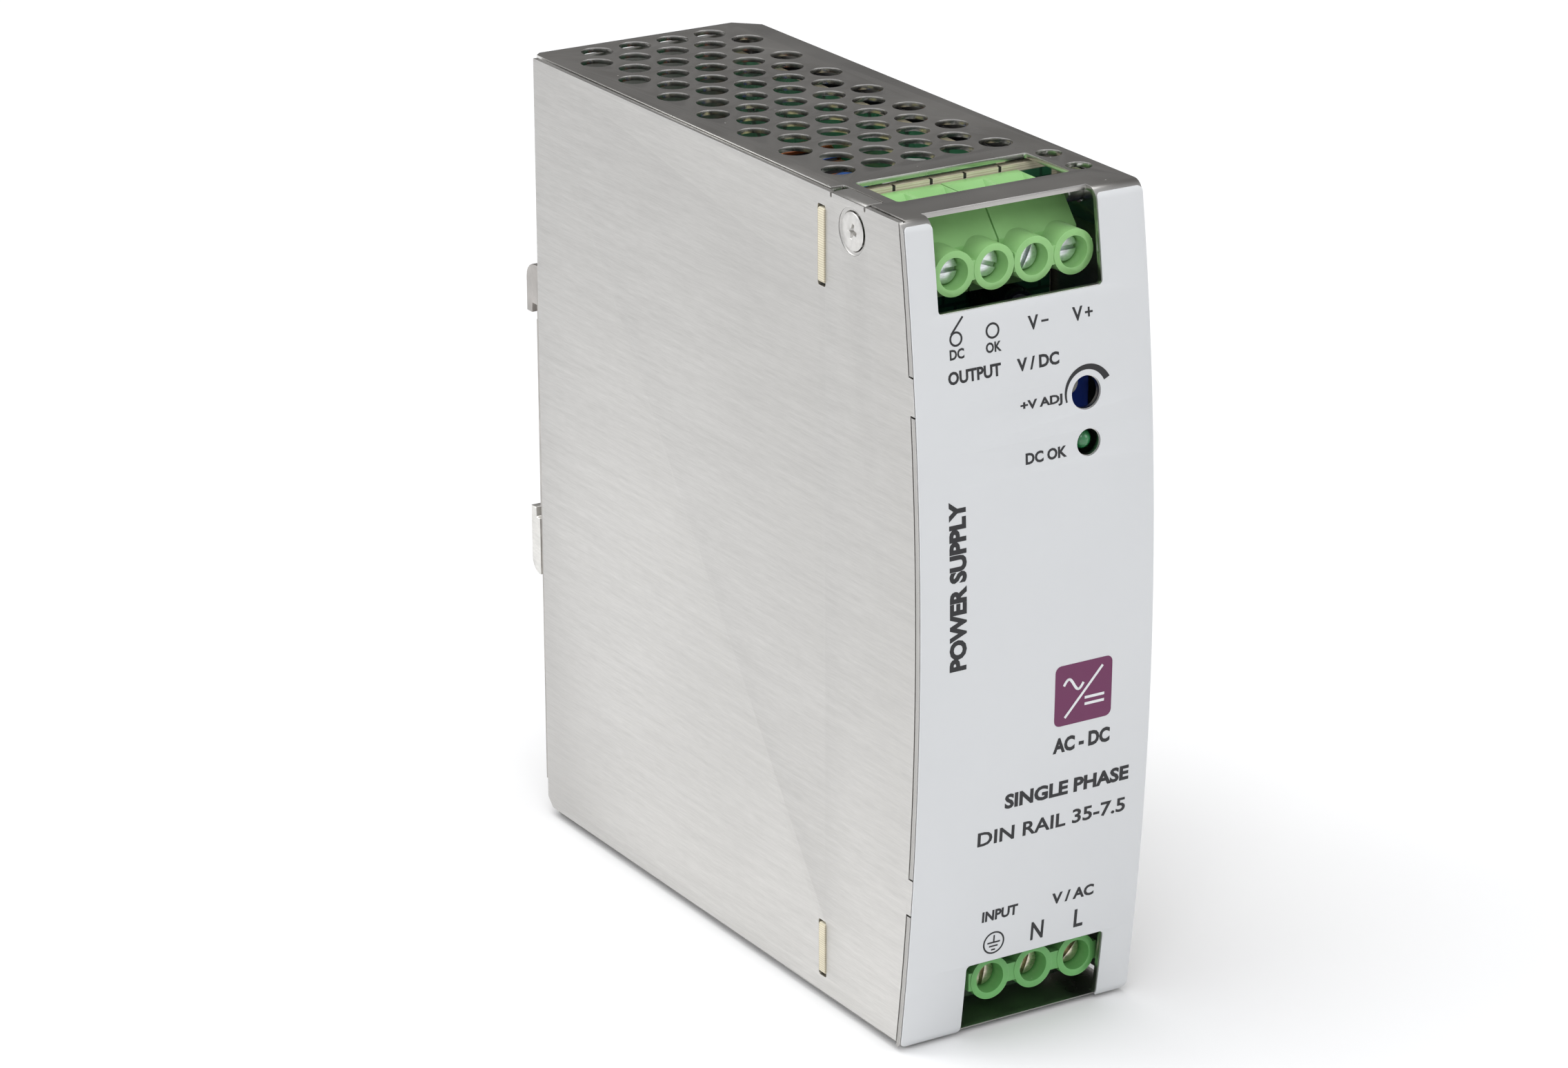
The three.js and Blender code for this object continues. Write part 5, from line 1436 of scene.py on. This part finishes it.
def makeBobbin():
    low, high, centre = nodeFrame("transformer_winding")
    flanges = []
    for x in ((low.x - 0.02, low.x + 0.9), (high.x - 0.9, high.x + 0.02)):
        outline = roundCorners(rectanglePoints((low.y - 0.05, high.y + 0.05), (low.z - 0.05, high.z + 0.05)), 1.2, 4)
        flanges.append(soften(prism("x", outline, x), 0.15, 2))
    return merge(flanges)


makePiece("transformerBobbin", makeBobbin(), whitePlastic)


def makeFilterChoke():
    # a taped coil on a flat bobbin that stands over the board on four pins
    low, high, centre = nodeFrame("filter_choke")
    x1 = high.x - 16
    y, z = (low.y + 0.02, high.y - 0.02), (low.z + 0.02, high.z - 0.02)
    coil = prism("y", roundCorners(rectanglePoints((low.x + 0.1, x1 - 0.1), (z[0] + 0.5, z[1] - 0.5)), 3.0, 8),
                 (y[0] + 1.2, y[1] - 1.2))
    makePiece("filterChoke", soften(coil, 0.5, 3), yellowTape, replaces=["filter_choke"])
    ends = [soften(prism("y", roundCorners(rectanglePoints((low.x + 0.02, x1), z), 1.4, 5), span), 0.15, 2)
            for span in ((y[0], y[0] + 1.4), (y[1] - 1.4, y[1]))]
    makePiece("filterChokeBobbin", merge(ends), whitePlastic)
    pins = [rod("x", 0.38, (x1 - 1, high.x), (0, at, height), 16)
            for at in (low.y + 0.8, high.y - 0.8) for height in (low.z + 1.0, high.z - 1.0)]
    makePiece("filterChokePins", merge(pins), solder)


makeFilterChoke()
makeCan("front_capacitor", "frontCapacitor", "y")

# short leads inside, from the terminals' board to the main board
leads = {"radius": 0.85, "routes": {
    "whiteLead1": [(-6, -83.9, 49), (-6, -79, 50.5), (-1, -73, 52.2), (6, -66, 52.4), (11, -62, 51.0), (12.9, -61.5, 50.5)],
    "whiteLead2": [(-1, -83.9, 48), (-0.5, -80, 50), (3, -76, 51.2), (8, -72, 51.4), (12, -70, 50.0), (12.9, -69.5, 49.5)]}}
for name, route in leads["routes"].items():
    makePiece(name, tube(smoothPath(route), leads["radius"], sides=3), whiteWire)
print("stage: parts inside")


# Rail bracket, latch and spring

rivets = {"places": ((-13, 27.5), (13, 27.5), (-14.5, -38), (14.5, -38)), "radius": 1.9, "height": 0.45}


def makeRivets(face):
    made = []
    for x, z in rivets["places"]:
        r, h = rivets["radius"], rivets["height"]
        made.append(turned("y", [(0, face - 0.4), (r, face - 0.4), (r, face + 0.08), (r * 0.85, face + h * 0.7),
                                 (r * 0.5, face + h), (0.75, face + h), (0.6, face + h - 0.35), (0, face + h - 0.35)],
                           (x, 0, z), 28))
    return made


plateFace = -0.2
railBracket = refine("rail_bracket", "railBracket", zincPlate, 0.22, sharperThan=30)
makePiece("bracketRivets", merge(makeRivets(plateFace)[2:]), nickel)
refine("latch_slide", "latchSlide", latchMetal, 0.22, body="latch_slide", sharperThan=30)

springCoil = {"turns": 5, "wire": 0.25, "radius": 0.9, "fixedEnd": -44.3}


def makeSpring():
    low, high = boxOf("latch_spring")
    shape = bmesh.new()
    made = bmesh.ops.create_circle(shape, cap_ends=False, radius=springCoil["wire"], segments=12)
    bmesh.ops.rotate(shape, verts=shape.verts, cent=(0, 0, 0), matrix=Matrix.Rotation(math.pi / 2, 3, "X"))
    bmesh.ops.translate(shape, verts=shape.verts, vec=(springCoil["radius"], 0, low.z + springCoil["wire"]))
    steps = 26 * springCoil["turns"]
    rise = (high.z - low.z - 2 * springCoil["wire"]) / steps
    bmesh.ops.spin(shape, geom=shape.verts[:] + shape.edges[:], cent=(0, 0, 0), axis=(0, 0, 1), dvec=(0, 0, rise),
                   angle=2 * math.pi * springCoil["turns"], steps=steps, use_duplicate=False)
    bmesh.ops.holes_fill(shape, edges=[e for e in shape.edges if len(e.link_faces) == 1], sides=20)
    bmesh.ops.recalc_face_normals(shape, faces=shape.faces)
    centre = (low + high) / 2
    bmesh.ops.translate(shape, verts=shape.verts, vec=(centre.x, centre.y, 0))
    return shape


spring = makePiece("latchSpring", makeSpring(), springSteel, replaces=["latch_spring"])
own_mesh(spring)
print("stage: rail bracket and latch")
